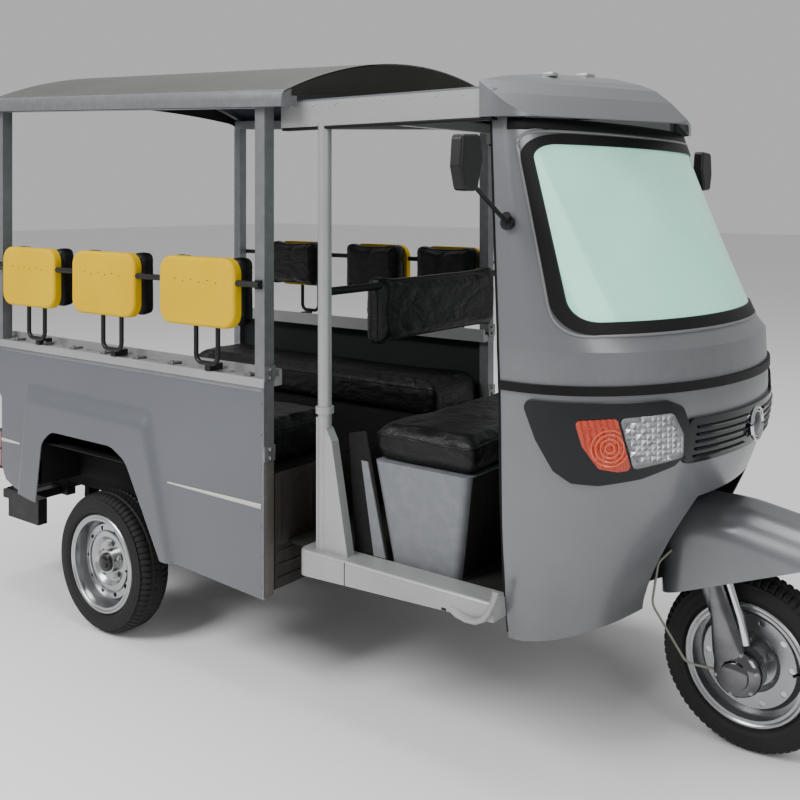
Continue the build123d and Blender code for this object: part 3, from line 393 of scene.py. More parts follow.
@dataclass(frozen=True)
class Finish:
    """One finish of a surface.

    Colours are linear. The second colour is the one the first drifts to. A painted glow makes a surface that
    is no lamp shine: painted light.
    """

    name: str
    colour: Colour
    second: Colour
    roughness: float = 0.5
    metallic: float = 0.0
    coat: float = 0.0
    transmission: float = 0.0
    specular: float = 0.5
    texture: Texture = Texture.GRAIN
    scale: float = 300.0
    stretch: Point = (1.0, 1.0, 1.0)
    relief: float = 0.08
    relief_depth: float = 0.0006
    cloud: float = 3.0
    cloud_stretch: Point = (1.0, 1.0, 1.0)
    wear: float = 0.0
    worn: Colour = (0.35, 0.35, 0.36)
    dust: float = 0.0
    dust_top: float = 0.75
    dusty: Colour = (0.16, 0.14, 0.115)
    painted_glow: float = 0.0

    def place(self, tree: bpy.types.NodeTree, group: bpy.types.NodeTree, **values: object) -> bpy.types.Node:
        """Put a shared group into the material.

        Args:
            tree: The material's node tree.
            group: The shared group.
            **values: Values for the group's inputs, by name.

        Returns:
            The group node.
        """
        node = tree.nodes.new("ShaderNodeGroup")
        node.node_tree = group
        for label, value in values.items():
            node.inputs[label].default_value = value
        return node

    def build(self, effects: Effects) -> bpy.types.Material:
        """Make the material.

        Args:
            effects: The shared node groups.

        Returns:
            The new material.
        """
        material = bpy.data.materials.new(self.name)
        material.use_nodes = True
        tree = material.node_tree
        shader = tree.nodes["Principled BSDF"]
        for label, value in (
            ("Metallic", self.metallic), ("Coat Weight", self.coat),
            ("Transmission Weight", self.transmission),
            ("Specular IOR Level", self.specular), ("Coat Roughness", 0.12),
        ):
            shader.inputs[label].default_value = value
        drift = self.place(
            tree, effects.drift, Colour=(*self.colour, 1), Second=(*self.second, 1), Scale=self.cloud,
            Stretch=self.cloud_stretch
        )
        colour = drift.outputs["Colour"]
        # Creased finishes are darkened along their folds by the crease group's Shade: painted shade.
        if self.texture is Texture.CREASE:
            crease = self.place(tree, effects.crease, Scale=self.scale, Stretch=self.stretch)
            colour = mix_colour(tree, crease.outputs["Shade"], tuple(0.45 * c for c in self.colour), colour)
        if self.dust > 0:
            dust = self.place(tree, effects.dust, Height=self.dust_top, Fade=0.55, Strength=self.dust)
            colour = mix_colour(tree, dust.outputs["Mask"], colour, self.dusty)
        if self.wear > 0:
            wear = self.place(tree, effects.wear, Amount=self.wear, Scale=34.0)
            colour = mix_colour(tree, wear.outputs["Mask"], colour, self.worn)
        tree.links.new(colour, shader.inputs["Base Color"])
        rough = math_node(tree, "MULTIPLY_ADD", drift.outputs["Value"], 0.14, clamp=True)
        rough.node.inputs[2].default_value = max(self.roughness - 0.07, 0.02)
        tree.links.new(rough, shader.inputs["Roughness"])
        # Painted glow: emission on a surface that is no lamp, painted light.
        if self.painted_glow > 0:
            tree.links.new(colour, shader.inputs["Emission Color"])
            shader.inputs["Emission Strength"].default_value = self.painted_glow
        if self.texture is not Texture.SMOOTH:
            height = self.place(tree, effects.relief(self.texture), Scale=self.scale, Stretch=self.stretch)
            bump = tree.nodes.new("ShaderNodeBump")
            bump.inputs["Strength"].default_value = self.relief
            bump.inputs["Distance"].default_value = self.relief_depth
            tree.links.new(height.outputs["Height"], bump.inputs["Height"])
            tree.links.new(bump.outputs["Normal"], shader.inputs["Normal"])
        return material


FINISHES = [
    Finish(
        "body_grey", (0.165, 0.172, 0.182), (0.14, 0.146, 0.155), 0.34, 0.5, 0.3, scale=900.0, relief=0.03,
        wear=0.06, dust=0.06,
    ),
    Finish(
        "tub_grey", (0.108, 0.114, 0.131), (0.094, 0.099, 0.114), 0.42, 0.2, 0.12, scale=900.0, relief=0.03,
        cloud=1.4,
        cloud_stretch=(0.6, 1.0, 1.0), wear=0.08, dust=0.9, dust_top=0.66, dusty=(0.125, 0.128, 0.122),
    ),
    Finish(
        "pale_grey", (0.33, 0.34, 0.335), (0.26, 0.265, 0.26), 0.4, 0.35, 0.1, wear=0.15, dust=0.15,
        dust_top=0.7,
    ),
    Finish(
        "post_grey", (0.19, 0.195, 0.205), (0.15, 0.155, 0.165), 0.4, 0.55, stretch=(1, 1, 0.1), wear=0.15,
        dust=0.3, dust_top=0.6,
    ),
    Finish(
        "chassis_black", (0.005, 0.005, 0.006), (0.01, 0.009, 0.009), 0.75, specular=0.2, relief=0.25,
        wear=0.1, worn=(0.03, 0.03, 0.03),
    ),
    Finish(
        "black_paint", (0.004, 0.004, 0.005), (0.008, 0.008, 0.008), 0.45, specular=0.3, wear=0.15,
        worn=(0.06, 0.06, 0.06),
    ),
    Finish(
        "vinyl", (0.005, 0.0052, 0.0055), (0.01, 0.01, 0.0105), 0.46, specular=0.28, texture=Texture.CREASE,
        scale=10.0,
        stretch=(1.0, 1.0, 1.8), relief=0.6, relief_depth=0.005,
    ),
    Finish(
        "yellow", (0.66, 0.42, 0.0), (0.58, 0.35, 0.0), 0.55, coat=0.0, specular=0.08, relief=0.05, wear=0.08,
        worn=(0.5, 0.36, 0.05),
    ),
    Finish(
        "red_lens", (0.2, 0.004, 0.004), (0.12, 0.002, 0.002), 0.2, 0.0, 0.3, 0.2, 0.3, Texture.RIB, 700.0,
        (0, 0, 1), 0.5, 0.002,
    ),
    Finish(
        "amber_lens", (0.62, 0.045, 0.003), (0.42, 0.022, 0.002), 0.14, 0.0, 0.4, 0.2, 0.4, Texture.RIB,
        420.0, (0.47, 0.88, 0.2), 0.7, 0.003,
    ),
    # Brighter amber of the indicator rings: a painted highlight of the reflector behind the opaque lens.
    Finish("amber_painted_highlight", (0.75, 0.14, 0.05), (0.6, 0.08, 0.03), 0.12, 0.3, 0.5, texture=Texture.SMOOTH),
    Finish("clear_lens", (0.93, 0.94, 0.95), (0.88, 0.9, 0.92), 0.05, 0.0, 0.5, 0.92, texture=Texture.SMOOTH),
    # The windscreen glass glows a little: painted light, the glass is no lamp.
    Finish(
        "glass", (0.34, 0.76, 0.6), (0.52, 0.84, 0.72), 0.15, 0.0, 0.3, 0.2, 0.4, Texture.SMOOTH, cloud=1.2,
        painted_glow=0.32,
    ),
    # Dark ribbed rubber, used for the sheet of painted shade over the seat box's front face.
    Finish(
        "rubber_mat", (0.009, 0.009, 0.008), (0.016, 0.016, 0.013), 0.8, specular=0.2, texture=Texture.RIB,
        scale=500.0, stretch=(0, 1, 0), relief=0.5,
    ),
    Finish("rubber", (0.002, 0.002, 0.002), (0.004, 0.004, 0.004), 0.5, specular=0.2, relief=0.1),
    Finish(
        "gloss_black", (0.001, 0.0025, 0.003), (0.003, 0.005, 0.006), 0.12, coat=0.12, specular=0.25,
        relief=0.01,
    ),
    Finish(
        "mirror_black", (0.004, 0.004, 0.005), (0.009, 0.009, 0.01), 0.45, specular=0.3, relief=0.3,
        scale=900.0,
    ),
    Finish(
        "box_grey", (0.15, 0.16, 0.175), (0.12, 0.128, 0.14), 0.5, 0.05, 0.05, relief=0.15, cloud=1.2,
        wear=0.1, dust=0.15,
    ),
    Finish(
        "dash_black", (0.009, 0.009, 0.01), (0.016, 0.016, 0.017), 0.6, specular=0.3, relief=0.35, scale=800.0
    ),
    Finish("fork_steel", (0.16, 0.16, 0.165), (0.07, 0.07, 0.075), 0.28, 0.9, stretch=(1, 1, 0.2), wear=0.2),
    Finish("cable_grey", (0.2, 0.2, 0.17), (0.12, 0.12, 0.1), 0.5),
    Finish(
        "tyre", (0.0045, 0.0045, 0.005), (0.008, 0.008, 0.0075), 0.68, specular=0.3, relief=0.2, scale=500.0,
        dust=0.08, dust_top=0.6, dusty=(0.05, 0.045, 0.04),
    ),
    Finish(
        "rim_steel", (0.46, 0.47, 0.48), (0.3, 0.31, 0.32), 0.26, 0.9, stretch=(1, 0.2, 1), wear=0.15,
        dust=0.15,
        dusty=(0.12, 0.1, 0.08),
    ),
    Finish("chrome", (0.72, 0.73, 0.74), (0.5, 0.51, 0.53), 0.1, 1.0, relief=0.03),
    Finish("dark_chrome", (0.2, 0.2, 0.21), (0.05, 0.05, 0.055), 0.13, 1.0, relief=0.05, cloud=7.0),
    Finish(
        "cast_black", (0.006, 0.006, 0.007), (0.015, 0.015, 0.015), 0.3, 0.3, 0.2, specular=0.4, relief=0.3,
        scale=250.0,
    ),
    Finish(
        "bulkhead_brown", (0.032, 0.027, 0.022), (0.014, 0.012, 0.011), 0.6, 0.1, specular=0.3,
        stretch=(1, 1, 0.2), cloud=5.0, cloud_stretch=(1, 2.5, 0.5), wear=0.2, worn=(0.07, 0.055, 0.045),
    ),
    Finish(
        "post_brown", (0.11, 0.098, 0.088), (0.08, 0.07, 0.062), 0.5, 0.3, cloud_stretch=(1, 1, 0.6),
        wear=0.3, worn=(0.16, 0.15, 0.14),
    ),
    Finish("roof_lining", (0.006, 0.0065, 0.018), (0.01, 0.011, 0.026), 0.75, specular=0.2, relief=0.3),
    Finish("wall_lining", (0.011, 0.016, 0.015), (0.018, 0.023, 0.022), 0.7, specular=0.2, relief=0.3),
    Finish(
        "roof_end", (0.008, 0.009, 0.007), (0.02, 0.021, 0.017), 0.55, specular=0.25, cloud=1.6,
        cloud_stretch=(1, 1, 4),
    ),
    Finish("roof_top", (0.07, 0.07, 0.067), (0.055, 0.055, 0.052), 0.5, 0.2, 0.05, cloud=1.2, wear=0.1),
    Finish("stripe_white", (0.56, 0.56, 0.5), (0.42, 0.42, 0.37), 0.45, wear=0.2, worn=(0.2, 0.2, 0.19)),
    Finish("lip_grey", (0.2, 0.205, 0.21), (0.16, 0.165, 0.17), 0.35, 0.4),
    Finish("mirror_glass", (0.75, 0.77, 0.8), (0.7, 0.72, 0.75), 0.03, 1.0, texture=Texture.SMOOTH),
    Finish("zinc", (0.36, 0.36, 0.35), (0.2, 0.2, 0.19), 0.35, 0.9, wear=0.1),
]


@dataclass
class Shop:
    """Makes meshes, dresses them and sets them on their bodies."""

    materials: dict[str, bpy.types.Material]
    nodes: dict[str, bpy.types.Object]
    trees: dict[str, BVHTree] = field(default_factory=dict)

    def tree(self, node: str) -> BVHTree:
        """Return the search tree over a CAD node's surface.

        Args:
            node: Name of the node.

        Returns:
            The tree, kept for the next call.
        """
        if node not in self.trees:
            mesh = self.nodes[node].data
            points = [v.co.copy() for v in mesh.vertices]
            self.trees[node] = BVHTree.FromPolygons(points, [tuple(p.vertices) for p in mesh.polygons])
        return self.trees[node]

    def hit(self, node: str, start: Vector, way: Vector) -> tuple[Vector, Vector] | None:
        """Cast a ray on a CAD node.

        Args:
            node: Name of the node.
            start: Where the ray starts.
            way: Where it goes.

        Returns:
            The point and the normal, turned against the ray, or None where it misses.
        """
        point, normal, _, _ = self.tree(node).ray_cast(start, way.normalized())
        if point is None:
            return None
        return point, normal if normal.dot(way) < 0 else -normal

    def add(
        self, name: str, mesh: bpy.types.Mesh, finish: str, body: Body = Body.CHASSIS, angle: float = 32.0
    ) -> bpy.types.Object:
        """Make a mesh an object of the vehicle.

        Args:
            name: Name of the piece.
            mesh: Its mesh, in the frame.
            finish: Name of its finish.
            body: The body that carries it.
            angle: Edges sharper than this many degrees stay sharp.

        Returns:
            The new object.
        """
        mesh.materials.clear()
        mesh.materials.append(self.materials[finish])
        mesh.shade_smooth()
        mesh.set_sharp_from_angle(angle=math.radians(angle))
        piece = bpy.data.objects.new(name, mesh)
        bpy.context.scene.collection.objects.link(piece)
        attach(piece, body.value)
        LOG.info("%s: %d faces", name, len(mesh.polygons))
        return piece

    def pair(
        self, name: str, mesh: bpy.types.Mesh, finish: str, angle: float = 32.0
    ) -> list[bpy.types.Object]:
        """Add a mesh of the right side and its mirrored twin.

        Args:
            name: Name of the pieces, without their side.
            mesh: Mesh of the right piece.
            finish: Name of their finish.
            angle: Edges sharper than this many degrees stay sharp.

        Returns:
            The right and the left object.
        """
        meshes = (("_right", mesh), ("_left", self.mirrored(mesh)))
        return [self.add(name + label, part, finish, angle=angle) for label, part in meshes]

    @staticmethod
    def mesh(name: str, points: Sequence[Vector], faces: Sequence[Sequence[int]]) -> bpy.types.Mesh:
        """Return a mesh of these points and faces, with its normals outward.

        Args:
            name: Name of the mesh.
            points: Its points, in the frame.
            faces: Numbers of each face's points.

        Returns:
            The mesh.
        """
        made = bpy.data.meshes.new(name)
        made.from_pydata([tuple(p) for p in points], [], [tuple(f) for f in faces])
        shape = bmesh.new()
        shape.from_mesh(made)
        bmesh.ops.remove_doubles(shape, verts=shape.verts, dist=1e-6)
        bmesh.ops.recalc_face_normals(shape, faces=shape.faces)
        shape.to_mesh(made)
        shape.free()
        return made

    def block(self, low: Point, high: Point, bevel: float, segments: int = 2) -> bpy.types.Mesh:
        """Return a box with rounded edges.

        Args:
            low: Lowest corner, in the source's millimetres.
            high: Highest corner.
            bevel: Radius of the edges.
            segments: Faces across each edge.

        Returns:
            The mesh.
        """
        a, b = at(*low), at(*high)
        shape = bmesh.new()
        bmesh.ops.create_cube(shape, size=1.0)
        place = Matrix.Translation((a + b) / 2) @ Matrix.Diagonal((*(b - a), 1.0))
        bmesh.ops.transform(shape, matrix=place, verts=shape.verts)
        bmesh.ops.bevel(
            shape, geom=list(shape.edges), offset=bevel / 1000, segments=segments, affect="EDGES", profile=0.5
        )
        made = bpy.data.meshes.new("block")
        shape.to_mesh(made)
        shape.free()
        return made

    def joined(self, meshes: Sequence[bpy.types.Mesh]) -> bpy.types.Mesh:
        """Return one mesh that holds all of these.

        Args:
            meshes: The meshes, which are removed.

        Returns:
            The joined mesh.
        """
        shape = bmesh.new()
        for part in meshes:
            shape.from_mesh(part)
            bpy.data.meshes.remove(part)
        made = bpy.data.meshes.new("joined")
        shape.to_mesh(made)
        shape.free()
        return made

    def mirrored(self, mesh: bpy.types.Mesh) -> bpy.types.Mesh:
        """Return a copy of a mesh on the other side of the vehicle.

        Args:
            mesh: The mesh, which stays as it is.

        Returns:
            The mirrored copy.
        """
        twin = mesh.copy()
        twin.transform(Matrix.Diagonal((1, -1, 1, 1)))
        twin.flip_normals()
        return twin

    def tube(
        self, path: Sequence[Vector], radius: float, closed: bool = False, sides: int = 10, flat: float = 1.0
    ) -> bpy.types.Mesh:
        """Return a tube along a path.

        Args:
            path: Points of the path, in the frame.
            radius: Radius in metres.
            closed: Whether the path comes back to its start.
            sides: Faces round the tube.
            flat: Height of the section against its width.

        Returns:
            The mesh.
        """
        count = len(path)
        points: list[Vector] = []
        up = Vector((0, 0, 1))
        for i, place in enumerate(path):
            before = path[i - 1] if i or closed else place
            after = path[(i + 1) % count] if i + 1 < count or closed else place
            way = (after - before).normalized()
            side = way.cross(up)
            if side.length < 0.1:
                side = way.cross(Vector((0, 1, 0)))
            side.normalize()
            top = side.cross(way).normalized()
            for k in range(sides):
                turn = 2 * math.pi * k / sides
                points.append(place + side * math.cos(turn) * radius + top * math.sin(turn) * radius * flat)
        faces = []
        for i in range(count if closed else count - 1):
            for k in range(sides):
                j, m = (i + 1) % count, (k + 1) % sides
                faces.append((i * sides + k, i * sides + m, j * sides + m, j * sides + k))
        if not closed:
            faces.append(tuple(range(sides)))
            faces.append(tuple((count - 1) * sides + k for k in range(sides)))
        return self.mesh("tube", points, faces)

    def lathe(
        self, outline: Sequence[tuple[float, float]], centre: Point, segments: int = 64, side: float = 1.0,
        wave: Callable[[int, float], float] | None = None, closed: bool = False,
    ) -> bpy.types.Mesh:
        """Turn an outline about an axle.

        Args:
            outline: Radius and distance along the axle of each point, in millimetres.
            centre: Centre of the wheel, in the source's millimetres.
            segments: Steps round the axle.
            side: 1 or -1, the way of the axle along Y.
            wave: Adds to the radius, given the outline point's number and the angle.
            closed: Whether the outline comes back to its start.

        Returns:
            The mesh.
        """
        x, y, z = centre
        points, faces = [], []
        rows = len(outline)
        for s in range(segments):
            turn = 2 * math.pi * s / segments
            for i, (radius, along) in enumerate(outline):
                r = radius + (wave(i, turn) if wave else 0.0)
                points.append(at(x + r * math.cos(turn), y + side * along, z + r * math.sin(turn)))
        for s in range(segments):
            t = (s + 1) % segments
            for i in range(rows if closed else rows - 1):
                j = (i + 1) % rows
                faces.append((s * rows + i, s * rows + j, t * rows + j, t * rows + i))
        return self.mesh("lathe", points, faces)

    def bolts(
        self, places: Sequence[tuple[Vector, Vector]], radius: float, hexagon: bool = True
    ) -> bpy.types.Mesh:
        """Return bolt heads with washers, or domed rivets.

        Args:
            places: Place and outward direction of each, in the frame.
            radius: Radius of the head in millimetres.
            hexagon: Whether the heads are hexagons and not domes.

        Returns:
            One mesh with all the heads.
        """
        r = radius / 1000
        shares = [(1.5, 0.0), (1.5, 0.25), (1.02, 0.3), (1.0, 0.9), (0.8, 1.1), (0.001, 1.15)]
        if not hexagon:
            shares = [(1.0, 0.0), (0.95, 0.25), (0.7, 0.5), (0.35, 0.62), (0.001, 0.66)]
        rings = [(wide * r, high * r) for wide, high in shares]
        points, faces = [], []
        for place, out in places:
            out = out.normalized()
            a = out.orthogonal().normalized()
            b = out.cross(a)
            first = len(points)
            for k, (radius_k, high) in enumerate(rings):
                for s in range(12):
                    turn = 2 * math.pi * s / 12
                    size = radius_k * (0.9 if hexagon and k in (2, 3, 4) and s % 2 else 1.0)
                    points.append(place + out * high + a * math.cos(turn) * size + b * math.sin(turn) * size)
            for k in range(len(rings) - 1):
                for s in range(12):
                    t = (s + 1) % 12
                    low, high = first + k * 12, first + (k + 1) * 12
                    faces.append((low + s, low + t, high + t, high + s))
        return self.mesh("bolts", points, faces)

    def prism(self, outline: Sequence[tuple[float, float]], y0: float, y1: float) -> bpy.types.Mesh:
        """Return a flat prism across the vehicle.

        Args:
            outline: Points (x, z) of the outline, in the source's millimetres.
            y0: Its lowest Y.
            y1: Its highest Y.

        Returns:
            The mesh.
        """
        count = len(outline)
        points = [at(x, y, z) for y in (y0, y1) for x, z in outline]
        faces = [tuple(range(count)), tuple(range(2 * count - 1, count - 1, -1))]
        faces += [(k, (k + 1) % count, count + (k + 1) % count, count + k) for k in range(count)]
        return self.mesh("prism", points, faces)

    def cut(self, mesh: bpy.types.Mesh, cutter: bpy.types.Mesh, operation: str) -> bpy.types.Mesh:
        """Return a mesh cut by another one.

        Args:
            mesh: The mesh to cut.
            cutter: The mesh that cuts.
            operation: INTERSECT or DIFFERENCE.

        Returns:
            The cut mesh.
        """
        held = [bpy.data.objects.new("cut_" + str(k), part) for k, part in enumerate((mesh, cutter))]
        for part in held:
            bpy.context.scene.collection.objects.link(part)
        work = held[0].modifiers.new("cut", "BOOLEAN")
        work.operation = operation
        work.solver = "EXACT"
        work.object = held[1]
        made = bpy.data.meshes.new_from_object(held[0].evaluated_get(bpy.context.evaluated_depsgraph_get()))
        for part in held:
            bpy.data.objects.remove(part)
        return made

    @staticmethod
    def rounded(
        outline: Sequence[tuple[float, float]], radius: float, steps: int = 6
    ) -> list[tuple[float, float]]:
        """Return an outline with its corners rounded.

        Args:
            outline: Points of the closed outline.
            radius: How far from each corner the rounding starts.
            steps: Pieces of each rounding.

        Returns:
            The points of the rounded outline.
        """
        made: list[tuple[float, float]] = []
        count = len(outline)
        for k in range(count):
            corner = Vector(outline[k])
            before = Vector(outline[k - 1]) - corner
            after = Vector(outline[(k + 1) % count]) - corner
            a = corner + before.normalized() * min(radius, before.length * 0.48)
            b = corner + after.normalized() * min(radius, after.length * 0.48)
            for j in range(steps + 1):
                t = j / steps
                p = a * (1 - t) ** 2 + corner * 2 * t * (1 - t) + b * t * t
                made.append((p.x, p.y))
        return made

    def ribbon(self, rows: Sequence[Sequence[Vector]], thickness: float) -> bpy.types.Mesh:
        """Return a sheet over rows of points, thickened along its normals.

        Args:
            rows: Rows of points of equal length.
            thickness: Thickness in metres.

        Returns:
            The mesh.
        """
        wide = len(rows[0])
        points = [p for row in rows for p in row]
        faces = []
        for i in range(len(rows) - 1):
            for k in range(wide - 1):
                faces.append((i * wide + k, i * wide + k + 1, (i + 1) * wide + k + 1, (i + 1) * wide + k))
        made = self.mesh("ribbon", points, faces)
        shape = bmesh.new()
        shape.from_mesh(made)
        bmesh.ops.solidify(shape, geom=list(shape.faces), thickness=thickness)
        bmesh.ops.recalc_face_normals(shape, faces=shape.faces)
        shape.to_mesh(made)
        shape.free()
        return made


@dataclass(frozen=True)
class Cushion:
    """Sizes of one cushion. Lengths are in the source's millimetres, but for those said to be in metres.

    The room is that of its CAD solid. The insets say how far its first block stays inside the room, and the
    seam is the sewn cord, which lies across one axis and a little below the high end of the room.
    Metres: voxel, cap (the most that a point may move), wrinkle (depth) and cord (radius).
    """

    low: Point
    high: Point
    inset_low: Point
    inset_high: Point
    bevel: float
    voxel: float
    cap: float
    wrinkle: float
    folds: Point
    seam_axis: int
    seam_drop: float
    seam_inset: float
    seam_radius: float
    seam_steps: int
    cord: float


BENCH = Cushion(
    (-721.0, -620.0, 706.0), (722.0, -276.0, 853.0), (8, 8, 0), (8, 8, 14), 34.0, 0.0125, 0.02,
    0.0035, (3.5, 6.0, 7.0), 2, 26, 3, 32.0, 260, 0.0035,
)
DRIVER_SEAT = Cushion(
    (1042.0, -560.0, 781.0), (1440.0, 560.0, 892.0), (7, 7, 0), (7, 7, 12), 34.0, 0.0115, 0.02,
    0.004, (5.0, 3.5, 7.0), 2, 24, 3, 44.0, 240, 0.0038,
)
BACK_PAD = Cushion(
    (-184.0, -659.0, 1144.0), (184.0, -576.0, 1378.0), (6, 0, 6), (6, 12, 6), 30.0, 0.008, 0.014,
    0.0008, (6.0, 6.0, 6.0), 1, 20, 4, 50.0, 120, 0.0032,
)
DRIVER_BACK = Cushion(
    (869.0, -370.0, 1076.0), (953.0, 370.0, 1318.0), (6, 6, 6), (8, 6, 6), 34.0, 0.009, 0.014,
    0.001, (5.0, 4.0, 5.0), 0, 18, 4, 48.0, 180, 0.0035,
)


@dataclass
class SoftPads:
    """The seat cushions and back pads, swollen by a short cloth simulation.

    Each row of back pads holds its side, middle along the vehicle, half width and top.
    """

    shop: Shop
    frames: int = 20
    pressure: float = 4.0
    quick_voxels: float = 2.5
    pad_grow: float = 9.0
    pad_rise: float = 10.0
    rows: tuple[tuple[str, float, float, float], ...] = (
        ("right", -516.0, 172.0, 1374.0), ("right", -52.0, 180.0, 1374.0), ("right", 443.0, 182.0, 1374.0),
        ("left", -340.0, 152.0, 1356.0), ("left", 137.0, 152.0, 1356.0), ("left", 532.0, 150.0, 1356.0),
    )

    def swell(self, mesh: bpy.types.Mesh, voxel: float, cap: float) -> bpy.types.Mesh:
        """Blow a pad up a little.

        Args:
            mesh: The pad's first shape.
            voxel: Size of the remesh in metres.
            cap: The most that a point may move, in metres.

        Returns:
            The swollen mesh.
        """
        pad = bpy.data.objects.new("pad_work", mesh)
        bpy.context.scene.collection.objects.link(pad)
        remesh = pad.modifiers.new("remesh", "REMESH")
        remesh.mode = "VOXEL"
        remesh.voxel_size = voxel
        graph = bpy.context.evaluated_depsgraph_get()
        base = bpy.data.meshes.new_from_object(pad.evaluated_get(graph))
        pad.modifiers.clear()
        pad.data = base
        before = [v.co.copy() for v in base.vertices]
        cloth = pad.modifiers.new("cloth", "CLOTH")
        cloth.settings.use_pressure = True
        cloth.settings.uniform_pressure_force = self.pressure
        cloth.settings.effector_weights.gravity = 0
        cloth.settings.quality = 4
        cloth.point_cache.frame_start = 1
        cloth.point_cache.frame_end = self.frames
        for frame in range(1, self.frames + 1):
            bpy.context.scene.frame_set(frame)
        graph = bpy.context.evaluated_depsgraph_get()
        blown = bpy.data.meshes.new_from_object(pad.evaluated_get(graph))
        for vertex, rest in zip(blown.vertices, before):
            move = vertex.co - rest
            if move.length > cap:
                move = move * (cap / move.length)
            vertex.co = rest + move
        pad.modifiers.clear()
        base = blown
        bpy.context.scene.frame_set(1)
        bpy.data.objects.remove(pad)
        return base

    def fit(self, mesh: bpy.types.Mesh, low: Point, high: Point) -> None:
        """Keep a swollen pad in the room of its CAD solid, flat where it rests.

        Args:
            mesh: The pad, changed in place.
            low: Lowest corner of the room in the source's millimetres.
            high: Highest corner.
        """
        a, b = at(*low), at(*high)
        for vertex in mesh.vertices:
            for k in range(3):
                vertex.co[k] = min(max(vertex.co[k], a[k]), b[k])

    def wrinkle(self, mesh: bpy.types.Mesh, depth: float, scale: Point) -> None:
        """Press soft wrinkles into a pad.

        Args:
            mesh: The pad, changed in place.
            depth: Depth of the wrinkles in metres.
            scale: Wrinkles a metre along each axis.
        """
        mesh.update()
        for vertex in mesh.vertices:
            where = Vector((vertex.co.x * scale[0], vertex.co.y * scale[1], vertex.co.z * scale[2]))
            fold = 1 - abs(noise.fractal(where, 1.0, 2.0, 2)) * 1.8
            vertex.co += vertex.normal * -depth * max(fold, 0.0) ** 2

    def piping(self, mesh: bpy.types.Mesh, path: Sequence[Vector], radius: float) -> bpy.types.Mesh:
        """Lay a sewn cord round a pad.

        Args:
            mesh: The pad it lies on.
            path: Closed path near the pad's surface.
            radius: Radius of the cord in metres.

        Returns:
            The cord's mesh.
        """
        tree = BVHTree.FromPolygons(
            [v.co.copy() for v in mesh.vertices], [tuple(p.vertices) for p in mesh.polygons]
        )
        laid = [tree.find_nearest(p)[0] for p in path]
        for _ in range(2):
            laid = [(laid[i - 1] + laid[i] * 2 + laid[(i + 1) % len(laid)]) / 4 for i in range(len(laid))]
        return self.shop.tube(laid, radius, closed=True, sides=8)

    @staticmethod
    def ring(
        a: tuple[float, float], b: tuple[float, float], radius: float, steps: int = 160
    ) -> list[tuple[float, float]]:
        """Return points round a rectangle with round corners.

        Args:
            a: Low corner.
            b: High corner.
            radius: Radius of the corners.
            steps: Rough number of points.

        Returns:
            The points, in order.
        """
        corners = [
            (b[0] - radius, b[1] - radius, 0), (a[0] + radius, b[1] - radius, 90),
            (a[0] + radius, a[1] + radius, 180), (b[0] - radius, a[1] + radius, 270),
        ]
        arcs = []
        for cx, cy, start in corners:
            for k in range(9):
                turn = math.radians(start + 90 * k / 8)
                arcs.append((cx + radius * math.cos(turn), cy + radius * math.sin(turn)))
        total = sum(math.dist(arcs[i - 1], arcs[i]) for i in range(len(arcs)))
        made = []
        for i, start_point in enumerate(arcs):
            end_point = arcs[(i + 1) % len(arcs)]
            cuts = max(1, round(steps * math.dist(start_point, end_point) / total))
            for k in range(cuts):
                share = k / cuts
                made.append(tuple(p + (q - p) * share for p, q in zip(start_point, end_point)))
        return made

    def sew(self, size: Cushion) -> tuple[bpy.types.Mesh, bpy.types.Mesh]:
        """Make one cushion and the cord sewn round it.

        Args:
            size: The cushion's sizes.

        Returns:
            The cushion's mesh and the cord's.
        """
        low = tuple(a + b for a, b in zip(size.low, size.inset_low))
        high = tuple(a - b for a, b in zip(size.high, size.inset_high))
        mesh = self.swell(self.shop.block(low, high, size.bevel, 4), size.voxel, size.cap)
        self.fit(mesh, size.low, size.high)
        self.wrinkle(mesh, size.wrinkle, size.folds)
        axes = [k for k in range(3) if k != size.seam_axis]
        start = tuple(size.low[k] + size.seam_inset for k in axes)
        end = tuple(size.high[k] - size.seam_inset for k in axes)
        path = []
        for flat in self.ring(start, end, size.seam_radius, size.seam_steps):
            place = list(flat)
            place.insert(size.seam_axis, size.high[size.seam_axis] - size.seam_drop)
            path.append(at(*place))
        return mesh, self.piping(mesh, path, size.cord)

    def cover(self, name: str, mesh: bpy.types.Mesh, node: str) -> None:
        """Add a pad to the vehicle in place of its CAD node, with one level of subdivision.

        Args:
            name: Name of the pad.
            mesh: Its mesh.
            node: The CAD node that it stands for.
        """
        piece = self.shop.add(name, mesh, "vinyl", angle=60.0)
        soft = piece.modifiers.new("soft", "SUBSURF")
        soft.levels = soft.render_levels = 1
        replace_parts(piece, node)

    def seat_cushions(self) -> None:
        """Build both bench cushions and the driver's cushion."""
        mesh, cord = self.sew(BENCH)
        pairs = (("right", mesh, cord), ("left", self.shop.mirrored(mesh), self.shop.mirrored(cord)))
        for side, pad, rim in pairs:
            self.cover("bench_cushion_" + side, pad, "bench_cushions")
            self.shop.add("bench_piping_" + side, rim, "vinyl")
        mesh, cord = self.sew(DRIVER_SEAT)
        self.cover("driver_cushion_soft", mesh, "driver_cushion")
        self.shop.add("driver_cushion_piping", cord, "vinyl")

